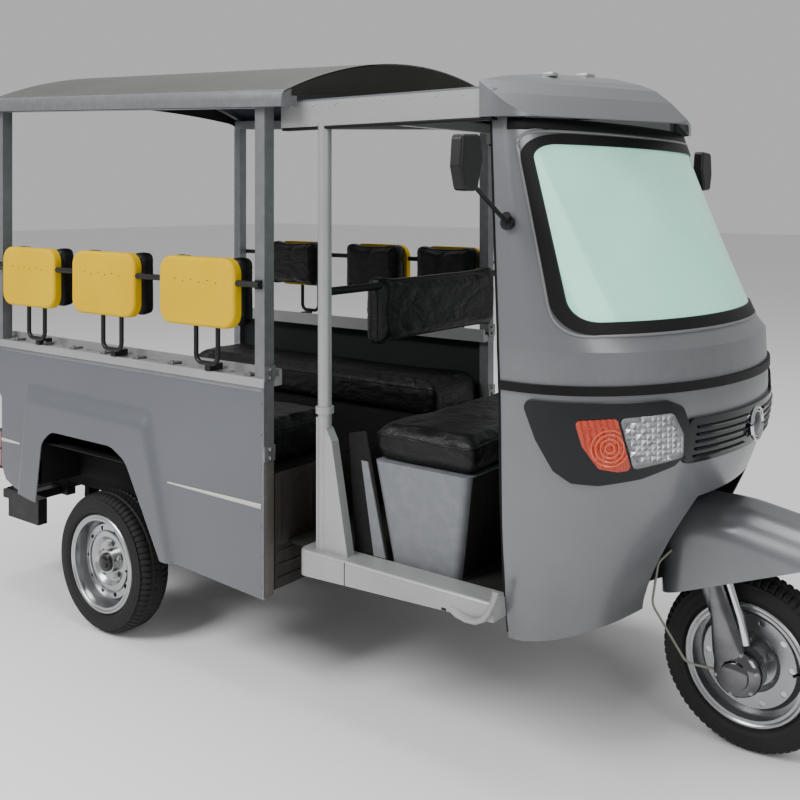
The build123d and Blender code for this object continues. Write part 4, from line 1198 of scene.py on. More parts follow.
    def back_pads(self) -> None:
        """Build the six side back pads, scaled from one, and the driver's backrest."""
        mesh, cord = self.sew(BACK_PAD)
        half, low_z, high_z = BACK_PAD.high[0], BACK_PAD.low[2], BACK_PAD.high[2]
        middle = at(0, 0, low_z)
        for number, (side, x, half_x, high) in enumerate(self.rows, 1):
            wide = (half_x + self.pad_grow) / half
            tall = (high + self.pad_rise - low_z) / (high_z - low_z)
            scaled = Matrix.Diagonal((wide, 1, tall, 1)) @ Matrix.Translation(-middle)
            place = Matrix.Translation(Vector((x / 1000, 0, 0)) + middle) @ scaled
            pad, rim = mesh.copy(), cord.copy()
            for part in (pad, rim):
                part.transform(place)
            if side == "left":
                pad, rim = self.shop.mirrored(pad), self.shop.mirrored(rim)
            self.cover("back_pad_" + str(number), pad, "backrest_pads")
            self.shop.add("back_piping_" + str(number), rim, "vinyl")
        mesh, cord = self.sew(DRIVER_BACK)
        self.cover("driver_backrest_soft", mesh, "driver_backrest")
        self.shop.add("driver_backrest_piping", cord, "vinyl")

    def build(self) -> None:
        """Build every soft pad."""
        self.seat_cushions()
        self.back_pads()


@dataclass
class Wheel:
    """A wheel's tyre with its tread, and the dressing of its rim."""

    shop: Shop
    name: str
    tyre_node: str
    body: Body
    centre: Point
    side: float
    width: float
    face: float
    segments: int = 288
    blocks: int = 72
    groove: float = 5.5
    groove_places: tuple[float, float] = (0.32, 0.68)
    groove_half: float = 0.04
    block_gap: float = 0.26
    bead_in: float = 14.0
    bead_radius: float = 164.0
    lip_radius: float = 175.0
    nut_count: int = 5
    nut_circle: float = 58.0
    ring_circle: float = 108.0
    crown: list[int] = field(default_factory=list)

    def tread(self, point: int, turn: float) -> float:
        """Return how far the tread is cut at an outline point and an angle.

        Args:
            point: Number of the outline point.
            turn: Angle round the axle.

        Returns:
            The change of radius, in millimetres.
        """
        if point not in self.crown:
            return 0.0
        across = self.crown.index(point) / (len(self.crown) - 1)
        inner, outer = self.groove_places
        if min(abs(across - inner), abs(across - outer)) < self.groove_half:
            return -self.groove
        slant = (0.45 if across > 0.5 else 0.0) + 0.5 * abs(across - 0.5)
        phase = (turn * self.blocks / (2 * math.pi) + slant) % 1.0
        deep = self.groove if across < inner or across > outer else 0.45 * self.groove
        return -deep if phase < self.block_gap else 0.0

    def build_tyre(self) -> None:
        """Build the tyre, which stands for its CAD node."""
        half = self.width / 2
        bead, lip = half - self.bead_in, self.lip_radius
        wall = [
            (self.bead_radius, bead), (lip + 1.5, bead), (lip + 8, half - 4), (lip + 16, half - 1.5),
            (lip + 19, half + 0.0), (lip + 23, half - 1.2),
            (lip + 34, half - 0.4), (lip + 42, half - 0.8), (lip + 45, half - 2.2), (TYRE_R - 26, half - 2.4),
            (TYRE_R - 20, half - 3.4),
        ]
        crown = [
            (TYRE_R - 0.7 - 20 * abs(2 * k / 24 - 1) ** 5, (half - 8.0) * (1 - 2 * k / 24)) for k in range(25)
        ]
        outline = wall + crown + [(r, -y) for r, y in reversed(wall)]
        self.crown = list(range(len(wall), len(wall) + len(crown)))
        mesh = self.shop.lathe(outline, self.centre, self.segments, self.side, self.tread, closed=True)
        piece = self.shop.add(self.name + "_tyre_tread", mesh, "tyre", self.body, 25.0)
        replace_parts(piece, self.tyre_node)

    def build_rim_dress(self) -> None:
        """Add the rolled rim edge, the bead ring, the nuts and the valve."""
        shop, face = self.shop, self.face
        out = self.width / 2 - self.bead_in
        lip = [
            (175.6, out + 4.5), (172, out + 7.5), (167, out + 8), (162, out + 5), (158, out - 1),
            (155.2, out - 12), (153.8, out - 12), (157, out + 3), (165, out + 4.6),
        ]
        shop.add(
            self.name + "_rim_edge", shop.lathe(lip, self.centre, 128, self.side, closed=True), "rim_steel",
            self.body,
        )
        x, y, z = self.centre
        nuts = []
        for k in range(self.nut_count):
            turn = math.radians(360 // self.nut_count * k + 20)
            dx, dz = self.nut_circle * math.cos(turn), self.nut_circle * math.sin(turn)
            nuts.append((at(x + dx, y + self.side * face, z + dz), Vector((0, self.side, 0))))
        shop.add(self.name + "_nuts", shop.bolts(nuts, 8.0), "zinc", self.body)
        bead = [(self.ring_circle + 3.0 * math.cos(t), face + 8 + 3.0 * math.sin(t)) for t in turns(8)]
        shop.add(
            self.name + "_rim_bead", shop.lathe(bead, self.centre, 96, self.side, closed=True), "rim_steel",
            self.body,
        )
        valve = [at(x + dx, y + self.side * (out - deep), z) for dx, deep in ((138, 26), (134, 12), (131, 4))]
        shop.add(self.name + "_valve", shop.tube(valve, 0.0042), "rubber", self.body)

    def build_hub(self) -> None:
        """Build the pressed hub cap of a rear wheel."""
        cap = [(33.0, 31.0), (33.0, 36), (30, 40), (22, 41), (20, 46), (12, 48), (0.5, 48.5)]
        mesh = self.shop.lathe(cap, self.centre, 48, self.side)
        self.shop.add(self.name + "_hub_cap", mesh, "cast_black", self.body)

    def build(self) -> None:
        """Build the wheel's pieces."""
        self.build_tyre()
        self.build_rim_dress()
        if self.name != "front":
            self.build_hub()


@dataclass
class TubSkin:
    """The pressed side panels of the tub, with a soft flare round each wheel opening."""

    shop: Shop
    pitch: float = 10.0
    flare: float = 22.0
    sheet: float = 3.6
    rounding: float = 0.42
    crease_angle: float = 40.0
    low_z: float = 304.0
    span_z: float = 680.0
    opening_radius: float = 26.0
    cut_y: tuple[float, float] = (-760.0, -600.0)
    outline: tuple[tuple[float, float], ...] = (
        (-735.0, 500.0), (-735.0, 770.0), (-770.0, 810.0), (-770.0, 974.0), (735.0, 974.0), (735.0, 314.0),
        (200.0, 342.0), (-520.0, 408.0), (-640.0, 424.0), (-704.0, 448.0),
    )
    opening: tuple[tuple[float, float], ...] = (
        (283.0, 300.0), (73.0, 647.0), (-8.0, 687.0), (-368.0, 687.0), (-430.0, 640.0), (-486.0, 300.0),
    )

    def height(self, x: float, z: float) -> float:
        """Return how far the panel is pressed out at a place of the side view, in millimetres.

        Args:
            x: Place along the vehicle.
            z: Height above the ground.

        Returns:
            How far it is pressed out.
        """
        left = (x + 640 - (z - 300) * 0.1533) / (40 - (z - 300) * 0.005 + 0.001)
        right_foot = 318 - (z - 300) * 0.2454
        right = (right_foot - x) / max(right_foot - 300 + (z - 300) * 0.2979, 6.0)
        top = (848 - (x + 556) * 0.0135 - z) / 68
        shares = [min(max(value, 0.0), 1.6) for value in (left, right, top)]
        low = shares[0]
        for value in shares[1:]:
            blend = max(self.rounding - abs(low - value), 0.0) / self.rounding
            low = min(low, value) - blend * blend * self.rounding / 4
        low = min(max(low, 0.0), 1.0)
        return self.flare * low * low * (3 - 2 * low)

    def panel(self) -> bpy.types.Mesh:
        """Return the mesh of the right panel.

        Returns:
            The mesh, cut to its outline and wheel opening.
        """
        columns = int((TUB_FRONT - TUB_REAR + 20) / self.pitch) + 1
        rows = int(self.span_z / self.pitch) + 1
        points, faces = [], []
        for thick in (0.0, self.sheet):
            for i in range(columns):
                for j in range(rows):
                    x, z = TUB_REAR - 10 + i * self.pitch, self.low_z + j * self.pitch
                    points.append(at(x, -TUB_HALF - self.height(x, z) + thick, z))
        layer = columns * rows
        for i in range(columns - 1):
            for j in range(rows - 1):
                a, b, c, d = i * rows + j, (i + 1) * rows + j, (i + 1) * rows + j + 1, i * rows + j + 1
                faces += [(a, b, c, d), (layer + a, layer + d, layer + c, layer + b)]
        rim = [i * rows for i in range(columns)] + [(columns - 1) * rows + j for j in range(1, rows)]
        rim += [i * rows + rows - 1 for i in range(columns - 2, -1, -1)] + [j for j in range(rows - 2, 0, -1)]
        faces += [
            (rim[k], layer + rim[k], layer + rim[(k + 1) % len(rim)], rim[(k + 1) % len(rim)])
            for k in range(len(rim))
        ]
        sheet = self.shop.mesh("panel", points, faces)
        kept = self.shop.cut(sheet, self.shop.prism(self.outline, *self.cut_y), "INTERSECT")
        hole = self.shop.prism(self.shop.rounded(self.opening, self.opening_radius), *self.cut_y)
        return self.shop.cut(kept, hole, "DIFFERENCE")

    def build(self) -> None:
        """Build both panels, which stand for their CAD nodes."""
        skins = self.shop.pair("tub_skin", self.panel(), "tub_grey", self.crease_angle)
        for skin, node in zip(skins, ("tub_side_right", "tub_side_left")):
            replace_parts(skin, node)


@dataclass
class TubDress:
    """Trim of the passenger tub: stripes, rivets, ledge clamps, bulkhead and posts."""

    shop: Shop
    stripe_z: float = 604.0
    rivet_pitch: float = 96.0

    def stripe(self, name: str, x0: float, x1: float, thin: float, thick: float) -> None:
        """Lay a tapered pressed stripe on both sides.

        Args:
            name: Name of the piece.
            x0: Rear end.
            x1: Front end.
            thin: Half height at the rear end.
            thick: Half height at the front end.
        """
        rows = []
        steps = 24
        for i in range(steps + 1):
            x = x0 + (x1 - x0) * i / steps
            half = thin + (thick - thin) * i / steps
            row = []
            for k in range(5):
                z = self.stripe_z + half * (k / 2 - 1)
                found = self.shop.hit("tub_side_right", at(x, -900, z), Vector((0, 1, 0)))
                place = found[0] if found else at(x, -TUB_HALF, z)
                row.append(place + Vector((0, -0.0012 - 0.0018 * (1 - abs(k / 2 - 1)), 0)))
            rows.append(row)
        mesh = self.shop.ribbon(rows, 0.001)
        self.shop.add(name + "_left", self.shop.mirrored(mesh), "stripe_white")
        self.shop.add(name + "_right", mesh, "stripe_white")

    def side_rivets(self) -> None:
        """Set rivets along the front edge of both side panels, and on the rear corner."""
        places = []
        for side in (-1, 1):
            out = Vector((0, side, 0))
            z = 350.0
            while z < 960:
                places.append((at(TUB_FRONT - 14, side * TUB_HALF, z), out))
                z += self.rivet_pitch
            for z in (840.0, 920.0):
                places.append((at(TUB_REAR + 16, side * TUB_HALF, z), out))
        self.shop.add("side_rivets", self.shop.bolts(places, 4.5, False), "tub_grey")

    def edge_strips(self) -> None:
        """Fold a light edge strip down the front of both side panels, and a hem along the top."""
        for side, label in ((-1, "right"), (1, "left")):
            y0, y1 = spread(side, TUB_HALF, TUB_HALF + 2.5)
            front = self.shop.block((TUB_FRONT - 7, y0, 320.0), (TUB_FRONT - 1, y1, 972.0), 1.0)
            top = self.shop.block((TUB_REAR + 2, y0, 960.0), (TUB_FRONT - 8, y1, 973.5), 1.1)
            self.shop.add("panel_edge_" + label, self.shop.joined([front, top]), "post_grey")

    def ledge_clamps(self) -> None:
        """Set the small clamps and bolts on the slotted ledges."""
        blocks, heads = [], []
        for side in (-1, 1):
            for k in range(8):
                x = TUB_REAR + 120 + 186 * k
                y0, y1 = spread(side, TUB_HALF - 6, TUB_HALF - 48)
                blocks.append(self.shop.block((x - 14, y0, LEDGE_TOP), (x + 14, y1, LEDGE_TOP + 7), 1.6))
                heads.append((at(x, side * (TUB_HALF - 16), LEDGE_TOP + 7), Vector((0, 0, 1))))
        self.shop.add("ledge_clamps", self.shop.joined(blocks), "post_grey")
        self.shop.add("ledge_bolts", self.shop.bolts(heads, 5.5), "zinc")

    def post_brackets(self) -> None:
        """Clamp the front posts to the tub with bolted brackets."""
        blocks, heads = [], []
        for side in (-1, 1):
            for z in (768.0, 1018.0):
                y0, y1 = spread(side, TUB_HALF - 44, TUB_HALF + 5)
                blocks.append(self.shop.block((TUB_FRONT, y0, z - 24), (TUB_FRONT + 5, y1, z + 24), 1.4))
                for dz in (-13, 13):
                    heads.append((at(TUB_FRONT + 5, side * (TUB_HALF - 20), z + dz), Vector((1, 0, 0))))
        self.shop.add("post_brackets", self.shop.joined(blocks), "post_grey")
        self.shop.add("post_bolts", self.shop.bolts(heads, 6.0), "zinc")

    def bulkhead(self) -> None:
        """Cover the tub's front wall with its stained panel and pressed ribs."""
        x, inner = TUB_FRONT + 0.5, TUB_HALF - 46
        plates = [self.shop.block((x, -inner, 470.0), (x + 2.0, inner, 700.0), 0.8)]
        ribs, posts = [], []
        for side in (-1, 1):
            y0, y1 = spread(side, 432.0, inner)
            plates.append(self.shop.block((x, y0, 336.0), (x + 2.0, y1, 470.0), 0.8))
            y0, y1 = spread(side, TUB_HALF - 40, TUB_HALF - 2)
            posts.append(self.shop.block((x, y0, 322.0), (x + 1.6, y1, 742.0), 0.7))
            y0, y1 = spread(side, 470, inner - 8)
            ribs += [
                self.shop.block((x + 1.5, y0, z - 5), (x + 5.0, y1, z + 5), 1.6)
                for z in (366.0, 408.0, 450.0)
            ]
        ribs += [
            self.shop.block((x + 1.5, 150 * k - 608, 485.0), (x + 6.0, 150 * k - 592, 690.0), 2.0)
            for k in range(9)
        ]
        self.shop.add("bulkhead_panel", self.shop.joined(plates), "bulkhead_brown")
        self.shop.add("bulkhead_ribs", self.shop.joined(ribs), "bulkhead_brown")
        self.shop.add("front_post_faces", self.shop.joined(posts), "post_brown")

    def wall_linings(self) -> None:
        """Line the tub's inner side walls with dark board."""
        for side, label in ((-1, "right"), (1, "left")):
            y0, y1 = spread(side, TUB_HALF - 5.5, TUB_HALF - 8.0)
            board = self.shop.block((PANEL_REAR + 14, y0, 706.0), (TUB_FRONT - 44, y1, 972.0), 0.9)
            self.shop.add("wall_lining_" + label, board, "wall_lining")

    def shell_dots(self) -> None:
        """Set a row of small dark domes, standing for holes, on each yellow back shell."""
        places = []
        for side, x, half, _ in SoftPads(self.shop).rows:
            sign = -1 if side == "right" else 1
            for k in range(6):
                where = at(x - half * 0.55 + half * 0.22 * k, sign * 900, 1300 - 7 * (k % 2))
                found = self.shop.hit("backrest_shells", where, Vector((0, -sign, 0)))
                if found:
                    places.append((found[0], found[1]))
        self.shop.add("shell_dots", self.shop.bolts(places, 2.4, False), "rubber")

    def tail_lamp_frames(self) -> None:
        """Frame the tail lamps with black bezels."""
        frames = []
        for side in (-1, 1):
            y0, y1 = spread(side, TUB_HALF - 66, TUB_HALF + 1)
            for z0, z1 in ((486.0, 494.0), (561.0, 566.0), (635.0, 643.0)):
                frames.append(self.shop.block((-759.0, y0, z0), (-735.5, y1, z1), 1.5))
        self.shop.add("tail_lamp_frames", self.shop.joined(frames), "black_paint")

    def step_treads(self) -> None:
        """Weld grip bars on the rear step."""
        bars = [
            self.shop.block((-846.0 + 22 * k, -575.0, 369.0), (-838.0 + 22 * k, 575.0, 373.0), 1.4)
            for k in range(5)
        ]
        self.shop.add("step_treads", self.shop.joined(bars), "black_paint")

    def build(self) -> None:
        """Build the tub's trim."""
        self.stripe("side_stripe", 276.0, 722.0, 3.0, 8.0)
        self.stripe("tail_stripe", -733.0, -606.0, 7.0, 3.5)
        self.side_rivets()
        self.edge_strips()
        self.ledge_clamps()
        self.post_brackets()
        self.bulkhead()
        self.wall_linings()
        self.shell_dots()
        self.tail_lamp_frames()
        self.step_treads()


@dataclass
class RoofDress:
    """Lining, end plates and drip rails of the rear roof, and trim of the cab roof."""

    shop: Shop
    hood_front: float = 836.0
    corner_from: float = 600.0
    skin_half: float = 676.0

    def tilted(self, x: float, y: float, z: float) -> Vector:
        """Return a point of the rear roof's own tilted frame."""
        turned = Matrix.Rotation(ROOF_TILT, 3, "Y") @ Vector((x, y, z))
        return at(turned.x, turned.y, turned.z + ROOF_EAVE)

    def arch(self, y: float, drop: float) -> float:
        """Return the height of the roof's arch above the eave, less a drop.

        Args:
            y: Place across the vehicle.
            drop: How far below the arch.

        Returns:
            The height above the eave.
        """
        half, rise = ROOF_HALF, ROOF_RISE - ROOF_SKIRT
        radius = (half * half + rise * rise) / (2 * rise)
        return ROOF_SKIRT + rise - radius + math.sqrt(radius * radius - y * y) - drop

    def lining(self) -> None:
        """Hang the dark lining under the rear roof."""
        rows = []
        for i in range(2):
            x = ROOF_REAR + 8 if i == 0 else ROOF_FRONT - 8
            rows.append([
                self.tilted(x, self.skin_half * (k / 16 - 1), self.arch(self.skin_half * (k / 16 - 1), 8.0))
                for k in range(33)
            ])
        self.shop.add("roof_lining_sheet", self.shop.ribbon(rows, 0.001), "roof_lining")

    def rear_edge(self, y: float) -> float:
        """Return the height above the eave of the rear opening's arched upper edge.

        Args:
            y: Place across the vehicle.

        Returns:
            The height above the eave.
        """
        flat = self.corner_from
        bend = max(abs(y) - flat, 0.0) / (ROOF_HALF - flat)
        return 60.0 - 36.0 * (y / flat) ** 2 * (1 if abs(y) < flat else (flat / y) ** 2) - 75.0 * bend ** 2

    def end_plates(self) -> None:
        """Cover the roof's end faces: dark domed plates, and light cheeks at the front corners."""
        for label, x, out, wide in (("front", self.hood_front, 1, 650.0), ("rear", ROOF_REAR, -1, 684.0)):
            rows = []
            for i in range(9):
                share = i / 8
                row = []
                for k in range(49):
                    y = wide * (k / 24 - 1)
                    top = self.arch(y, 3.0)
                    low = min(
                        38.0 + 30.0 * (1 - (y / 628.0) ** 2), top - 1.0
                    ) if out > 0 else self.rear_edge(y)
                    z = low + (top - low) * share
                    bulge = 5.0 * (1 - (y / 684.0) ** 2) * math.sin(math.pi * share)
                    row.append(self.tilted(x + out * (0.6 + bulge * 0.6), y, z))
                rows.append(row)
            self.shop.add("roof_end_" + label, self.shop.ribbon(rows, 0.0005), "roof_end")
        for side, label in ((-1, "right"), (1, "left")):
            rows = []
            for share in (0.0, 0.5, 1.0):
                row = []
                for k in range(7):
                    y = 626.0 + 62.0 * k / 6
                    row.append(
                        self.tilted(self.hood_front - 1.5, side * y, 3.0 + (self.arch(y, 4.0) - 3.0) * share)
                    )
                rows.append(row)
            self.shop.add("roof_cheek_" + label, self.shop.ribbon(rows, 0.0005), "post_grey")

    def skin(self) -> None:
        """Lay the sheet skin over the roof, in place of the plain solid, with its side skirts."""
        rows = []
        for x in (ROOF_REAR - 1.0, ROOF_REAR + 300, ROOF_FRONT, self.hood_front + 1.0):
            rows.append([
                self.tilted(x, self.skin_half * (k / 24 - 1), self.arch(self.skin_half * (k / 24 - 1), -1.2))
                for k in range(49)
            ])
        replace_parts(self.shop.add("roof_skin_top", self.shop.ribbon(rows, 0.001), "roof_top"), "rear_roof")
        for side, label in ((-1, "right"), (1, "left")):
            rows = []
            for x in (ROOF_REAR - 1.0, ROOF_FRONT, self.hood_front + 1.0):
                section = [
                    (self.skin_half, self.arch(self.skin_half, -1.2)), (ROOF_HALF - 4, ROOF_SKIRT + 3.5),
                    (ROOF_HALF + 1.0, ROOF_SKIRT - 4.0), (ROOF_HALF + 1.4, 2.0),
                ]
                rows.append([self.tilted(x, side * y, z) for y, z in section])
            self.shop.add("roof_skirt_" + label, self.shop.ribbon(rows, 0.0012), "post_grey")

    def drip_rails(self) -> None:
        """Run the light drip rails along both eaves."""
        for side, label in ((-1, "right"), (1, "left")):
            rows = []
            for x in (ROOF_REAR + 1, self.hood_front - 1):
                section = ((1.0, 2.0), (3.0, 0.5), (3.4, 20.0), (3.0, 40.0), (0.8, 45.0))
                rows.append([self.tilted(x, side * (ROOF_HALF + out), z) for out, z in section])
            self.shop.add("drip_rail_" + label, self.shop.ribbon(rows, 0.0008), "post_grey")

    def cab_trim(self) -> None:
        """Add the beams' seals and rivets, and the small raised pads of the cab's roof."""
        seals = []
        for side in (-1, 1):
            y0, y1 = spread(side, BEAM_HALF - 30, BEAM_HALF + 1)
            seals.append(self.shop.block((762.0, y0, 1776.0), (1536.0, y1, 1785.0), 2.0))
        self.shop.add("beam_seals", self.shop.joined(seals), "rubber")
        bits = []
        for x, y, long, wide in ((1530.0, -288.0, 34.0, 20.0), (1530.0, -67.0, 56.0, 22.0)):
            found = self.shop.hit("cab_roof", at(x, y, 2200), Vector((0, 0, -1)))
            if found:
                z = found[0].z * 1000
                bits.append(
                    self.shop.block((x - wide, y - long / 2, z - 3), (x + wide, y + long / 2, z + 11), 4.0, 3)
                )
        self.shop.add("roof_pads", self.shop.joined(bits), "pale_grey")
        heads = []
        for side in (-1, 1):
            for k in range(8):
                heads.append((at(800 + 92 * k, side * BEAM_HALF, 1850), Vector((0, side, 0))))
        self.shop.add("beam_rivets", self.shop.bolts(heads, 4.0, False), "pale_grey")

    def build(self) -> None:
        """Build the trim of both roofs."""
        self.lining()
        self.skin()
        self.end_plates()
        self.drip_rails()
        self.cab_trim()


@dataclass
class CabDress:
    """Trim of the cab: windscreen lip, a band of painted shade under the visor, lamps, grille, mirrors and
    sills.
    """

    shop: Shop
    screen_low: tuple[float, float] = (1709.0, 1213.0)
    screen_high: tuple[float, float] = (1582.0, 1743.0)
    radius_low: float = 110.0
    radius_high: float = 62.0
    screen_flat: float = 430.0
    lamp_turn: float = -62.0
    facet_angle: float = 5.0
    ornament_sides: int = 40

    def shell_point(self, node: str, x: float, z: float, lift: float) -> Vector | None:
        """Return the point of the near side shell at a place of the side view, lifted off it."""
        found = self.shop.hit(node, at(x, -1200, z), Vector((0, 1, 0)))
        return found[0] + found[1] * lift / 1000 if found else None

    def front_point(self, node: str, y: float, z: float, lift: float) -> Vector | None:
        """Return the point of the front shell at a place of the front view, lifted off it."""
        found = self.shop.hit(node, at(2600, y, z), Vector((-1, 0, 0)))
        return found[0] + found[1] * lift / 1000 if found else None

    def bend(self, start: Vector, corner: Vector, end: Vector, lift: float) -> list[Vector | None]:
        """Return points of the near side shell along a round corner of the screen opening.

        Args:
            start: Where the corner's curve starts, in the side view.
            corner: The sharp corner.
            end: Where the curve ends.
            lift: How far the points stand off the shell, in millimetres.

        Returns:
            The points, or None where the shell has none.
        """
        made = []
        for k in range(9):
            t = k / 8
            p = start * (1 - t) ** 2 + corner * 2 * t * (1 - t) + end * t * t
            made.append(self.shell_point("cab_upper", p.x, p.y, lift))
        return made

    def screen_path(self, grow: float, lift: float) -> list[Vector]:
        """Return the closed path round the windscreen opening.

        Args:
            grow: How far outside the opening it runs, in millimetres.
            lift: How far it stands off the shell, in millimetres.

        Returns:
            The points, from the middle of the lower edge round to it again.
        """
        (lx, lz), (hx, hz) = self.screen_low, self.screen_high
        way = Vector((hx - lx, hz - lz)).normalized()
        side = Vector((-way.y, way.x)) * grow
        low = Vector((lx, lz)) + side + Vector((0, -grow))
        high = Vector((hx, hz)) + side + Vector((0, grow))
        node, flat = "cab_upper", -self.screen_flat
        near = [self.front_point(node, flat * k / 12, lz - grow, lift) for k in range(13)]
        start = low + Vector((self.radius_low * 0.78, 0))
        end = low + way * self.radius_low * 0.78
        last_x = near[-1].x * 1000 + CENTRE_X
        near += [
            self.shell_point(node, last_x + (start.x - last_x) * k / 6, lz - grow, lift) for k in range(1, 6)
        ]
        near += self.bend(start, low, end, lift)
        begin = high - way * self.radius_high * 0.85
        stop = high + Vector((self.radius_high * 0.85, 0))
        for k in range(1, 10):
            p = end + (begin - end) * k / 10
            near.append(self.shell_point(node, p.x, p.y, lift))
        near += self.bend(begin, high, stop, lift)
        first = self.front_point(node, flat, hz + grow, lift)
        if first is not None:
            first_x = first.x * 1000 + CENTRE_X
            near += [
                self.shell_point(node, stop.x + (first_x - stop.x) * k / 5, hz + grow, lift)
                for k in range(1, 5)
            ]
        near += [self.front_point(node, flat * (1 - k / 12), hz + grow, lift) for k in range(13)]
        near = [p for p in near if p is not None]
        return near + [Vector((p.x, -p.y, p.z)) for p in reversed(near[1:-1])]

    def screen_lips(self) -> None:
        """Run the light lip outside the rubber seal."""
        path = self.screen_path(5.0, 1.5)
        self.shop.add("screen_lip", self.shop.tube(path, 0.0045, closed=True, sides=8), "lip_grey")

    def visor_shadow_band(self) -> None:
        """Lay a dark band of painted shade under the visor, round the top of the cab front, where the visor's
        shadow falls.
        """
        rows = []
        for z in (1751.0, 1757.0, 1779.0, 1784.0):
            lift = 1.0 if z in (1751.0, 1784.0) else 4.0
            row = [self.front_point("cab_upper", 480.0 * (k / 24 - 1), z, lift) for k in range(49)]
            near = [self.shell_point("cab_upper", 1560.0 + 8.0 * k, z, lift) for k in range(6)]
            near = [p for p in near if p is not None]
            far = [Vector((p.x, -p.y, p.z)) for p in reversed(near)]
            rows.append(near + [p for p in row if p is not None] + far)
        if len({len(row) for row in rows}) == 1:
            # Painted shade: the black rubber band stands for the visor's shadow on the cab.
            self.shop.add("visor_shadow_band", self.shop.ribbon(rows, 0.001), "rubber")

    def lamp_place(self, across: float, z: float) -> tuple[Vector, Vector]:
        """Return a place in the lamp's slanted plane and the direction that it faces.

        Args:
            across: Place along the lamp, in millimetres.
            z: Height above the ground.

        Returns:
            The place and the direction.
        """
        turn = math.radians(self.lamp_turn)
        along = Vector((math.sin(-turn), math.cos(-turn), 0))
        out = Vector((math.cos(turn), math.sin(turn), 0))
        return at(1830.0, -470.0, z) + along * across / 1000, out

    def facets(
        self, name: str, corners: tuple[float, float, float, float], node: str, cells: tuple[int, int],
        finish: str, lift: float,
    ) -> None:
        """Build the cut facets of one pair of lamps.

        Args:
            name: Name of the pieces.
            corners: Across and height of the low and the high corner.
            node: The CAD lens they lie on.
            cells: Facets across and up.
            finish: Name of the finish.
            lift: Height off the lens, in millimetres.
        """
        a0, z0, a1, z1 = corners
        points, faces = [], []
        for i in range(cells[0]):
            for j in range(cells[1]):
                quad = []
                for di, dj in ((0, 0), (1, 0), (1, 1), (0, 1)):
                    place, out = self.lamp_place(
                        a0 + (a1 - a0) * (i + di) / cells[0], z0 + (z1 - z0) * (j + dj) / cells[1]
                    )
                    found = self.shop.hit(node, place + out * 0.5, -out)
                    if found is None:
                        break
                    quad.append(found[0] + found[1] * lift / 1000)
                if len(quad) < 4:
                    continue
                middle = sum(quad, Vector()) / 4 + out * 0.0045 * (0.6 + 0.4 * ((i * 7 + j * 3) % 5) / 4)
                shift = Vector((0, 0, 0.003 * (((i * 5 + j * 11) % 7) / 6 - 0.5)))
                first = len(points)
                points += [*quad, middle + shift]
                faces += [(first + k, first + (k + 1) % 4, first + 4) for k in range(4)]
        if not points:
            return
        mesh = self.shop.mesh(name, points, faces)
        self.shop.pair(name, mesh, finish, self.facet_angle)

    def indicator_rings(self) -> None:
        """Lay the round reflector rings over the indicator lenses, in a brighter amber that paints their
        highlight.
        """
        rings = []
        for radius in (12.0, 24.0, 36.0, 47.0):
            run: list[Vector] = []
            for k in range(61):
                turn = 2 * math.pi * k / 60
                place, out = self.lamp_place(-22.0 + radius * math.cos(turn), 926.0 + radius * math.sin(turn))
                found = self.shop.hit("indicators", place + out * 0.5, -out)
                if found is None:
                    if len(run) > 3:
                        rings.append(self.shop.tube(run, 0.0024, sides=6))
                    run = []
                else:
                    run.append(found[0] + found[1] * 0.001)
            if len(run) > 3:
                rings.append(self.shop.tube(run, 0.0024, sides=6))
        if rings:
            self.shop.pair("indicator_rings", self.shop.joined(rings), "amber_painted_highlight")

    def grille(self) -> None:
        """Build the grille's slats and the plain domed ornament."""
        slats = []
        for k in range(5):
            z = 880.0 + 20.0 * k
            row = []
            for j in range(41):
                p = self.front_point("nose_grille", 300.0 * (j / 20 - 1), z, 2.0)
                if p is not None and abs(p.y) > 0.05:
                    row.append(p)
            for half in ([p for p in row if p.y < 0], [p for p in row if p.y > 0]):
                if len(half) > 2:
                    slats.append(self.shop.tube(half, 0.0035, sides=6))
        if slats:
            self.shop.add("grille_slats", self.shop.joined(slats), "gloss_black")
        centre = self.front_point("nose_grille", 0.0, 925.0, 0.0)
        if centre is None:
            return
        meshes, sides = [], self.ornament_sides
        for radius, thick, step in ((0.046, 0.0055, 0.006), (0.0355, 0.0025, 0.007)):
            ring = [centre + Vector((step, radius * math.cos(t), radius * math.sin(t))) for t in turns(sides)]
            meshes.append(self.shop.tube(ring, thick, closed=True, sides=8))
        dome = []
        for radius, high in (
            (0.034, 0.004), (0.031, 0.009), (0.022, 0.0125), (0.011, 0.0145), (0.0005, 0.015)
        ):
            dome += [
                centre + Vector((high, radius * math.cos(t), radius * math.sin(t))) for t in turns(sides)
            ]
        faces = []
        for k in range(4):
            for m in range(sides):
                low, high, n = k * sides, (k + 1) * sides, (m + 1) % sides
                faces.append((low + m, low + n, high + n, high + m))
        self.shop.add("nose_dome", self.shop.mesh("dome", dome, faces), "dark_chrome")
        self.shop.add("nose_ornament", self.shop.joined(meshes), "chrome")

    def mirror_glasses(self) -> None:
        """Set the glass into the back of each mirror."""
        for label, y, z in (("right", -795.0, 1656.0), ("left", 795.0, 1664.0)):
            s = 1 if y > 0 else -1
            outline = [(26, -64), (44, -8), (36, 62), (-34, 65), (-44, 10), (-20, -64)]
            points = [at(1559.4, y + s * dy, z + dz) for dy, dz in outline]
            points += [p + Vector((0.0012, 0, 0)) for p in points]
            faces = [tuple(range(6)), tuple(range(6, 12))] + [
                (k, (k + 1) % 6, 6 + (k + 1) % 6, 6 + k) for k in range(6)
            ]
            self.shop.add("mirror_glass_" + label, self.shop.mesh("glass", points, faces), "mirror_glass")
            boot = [at(1574.0 + k, s * (590.0 + 5.0 * k), 1500.0 + 4.2 * k) for k in range(6)]
            self.shop.add("mirror_boot_" + label, self.shop.tube(boot, 0.013, sides=12), "rubber")

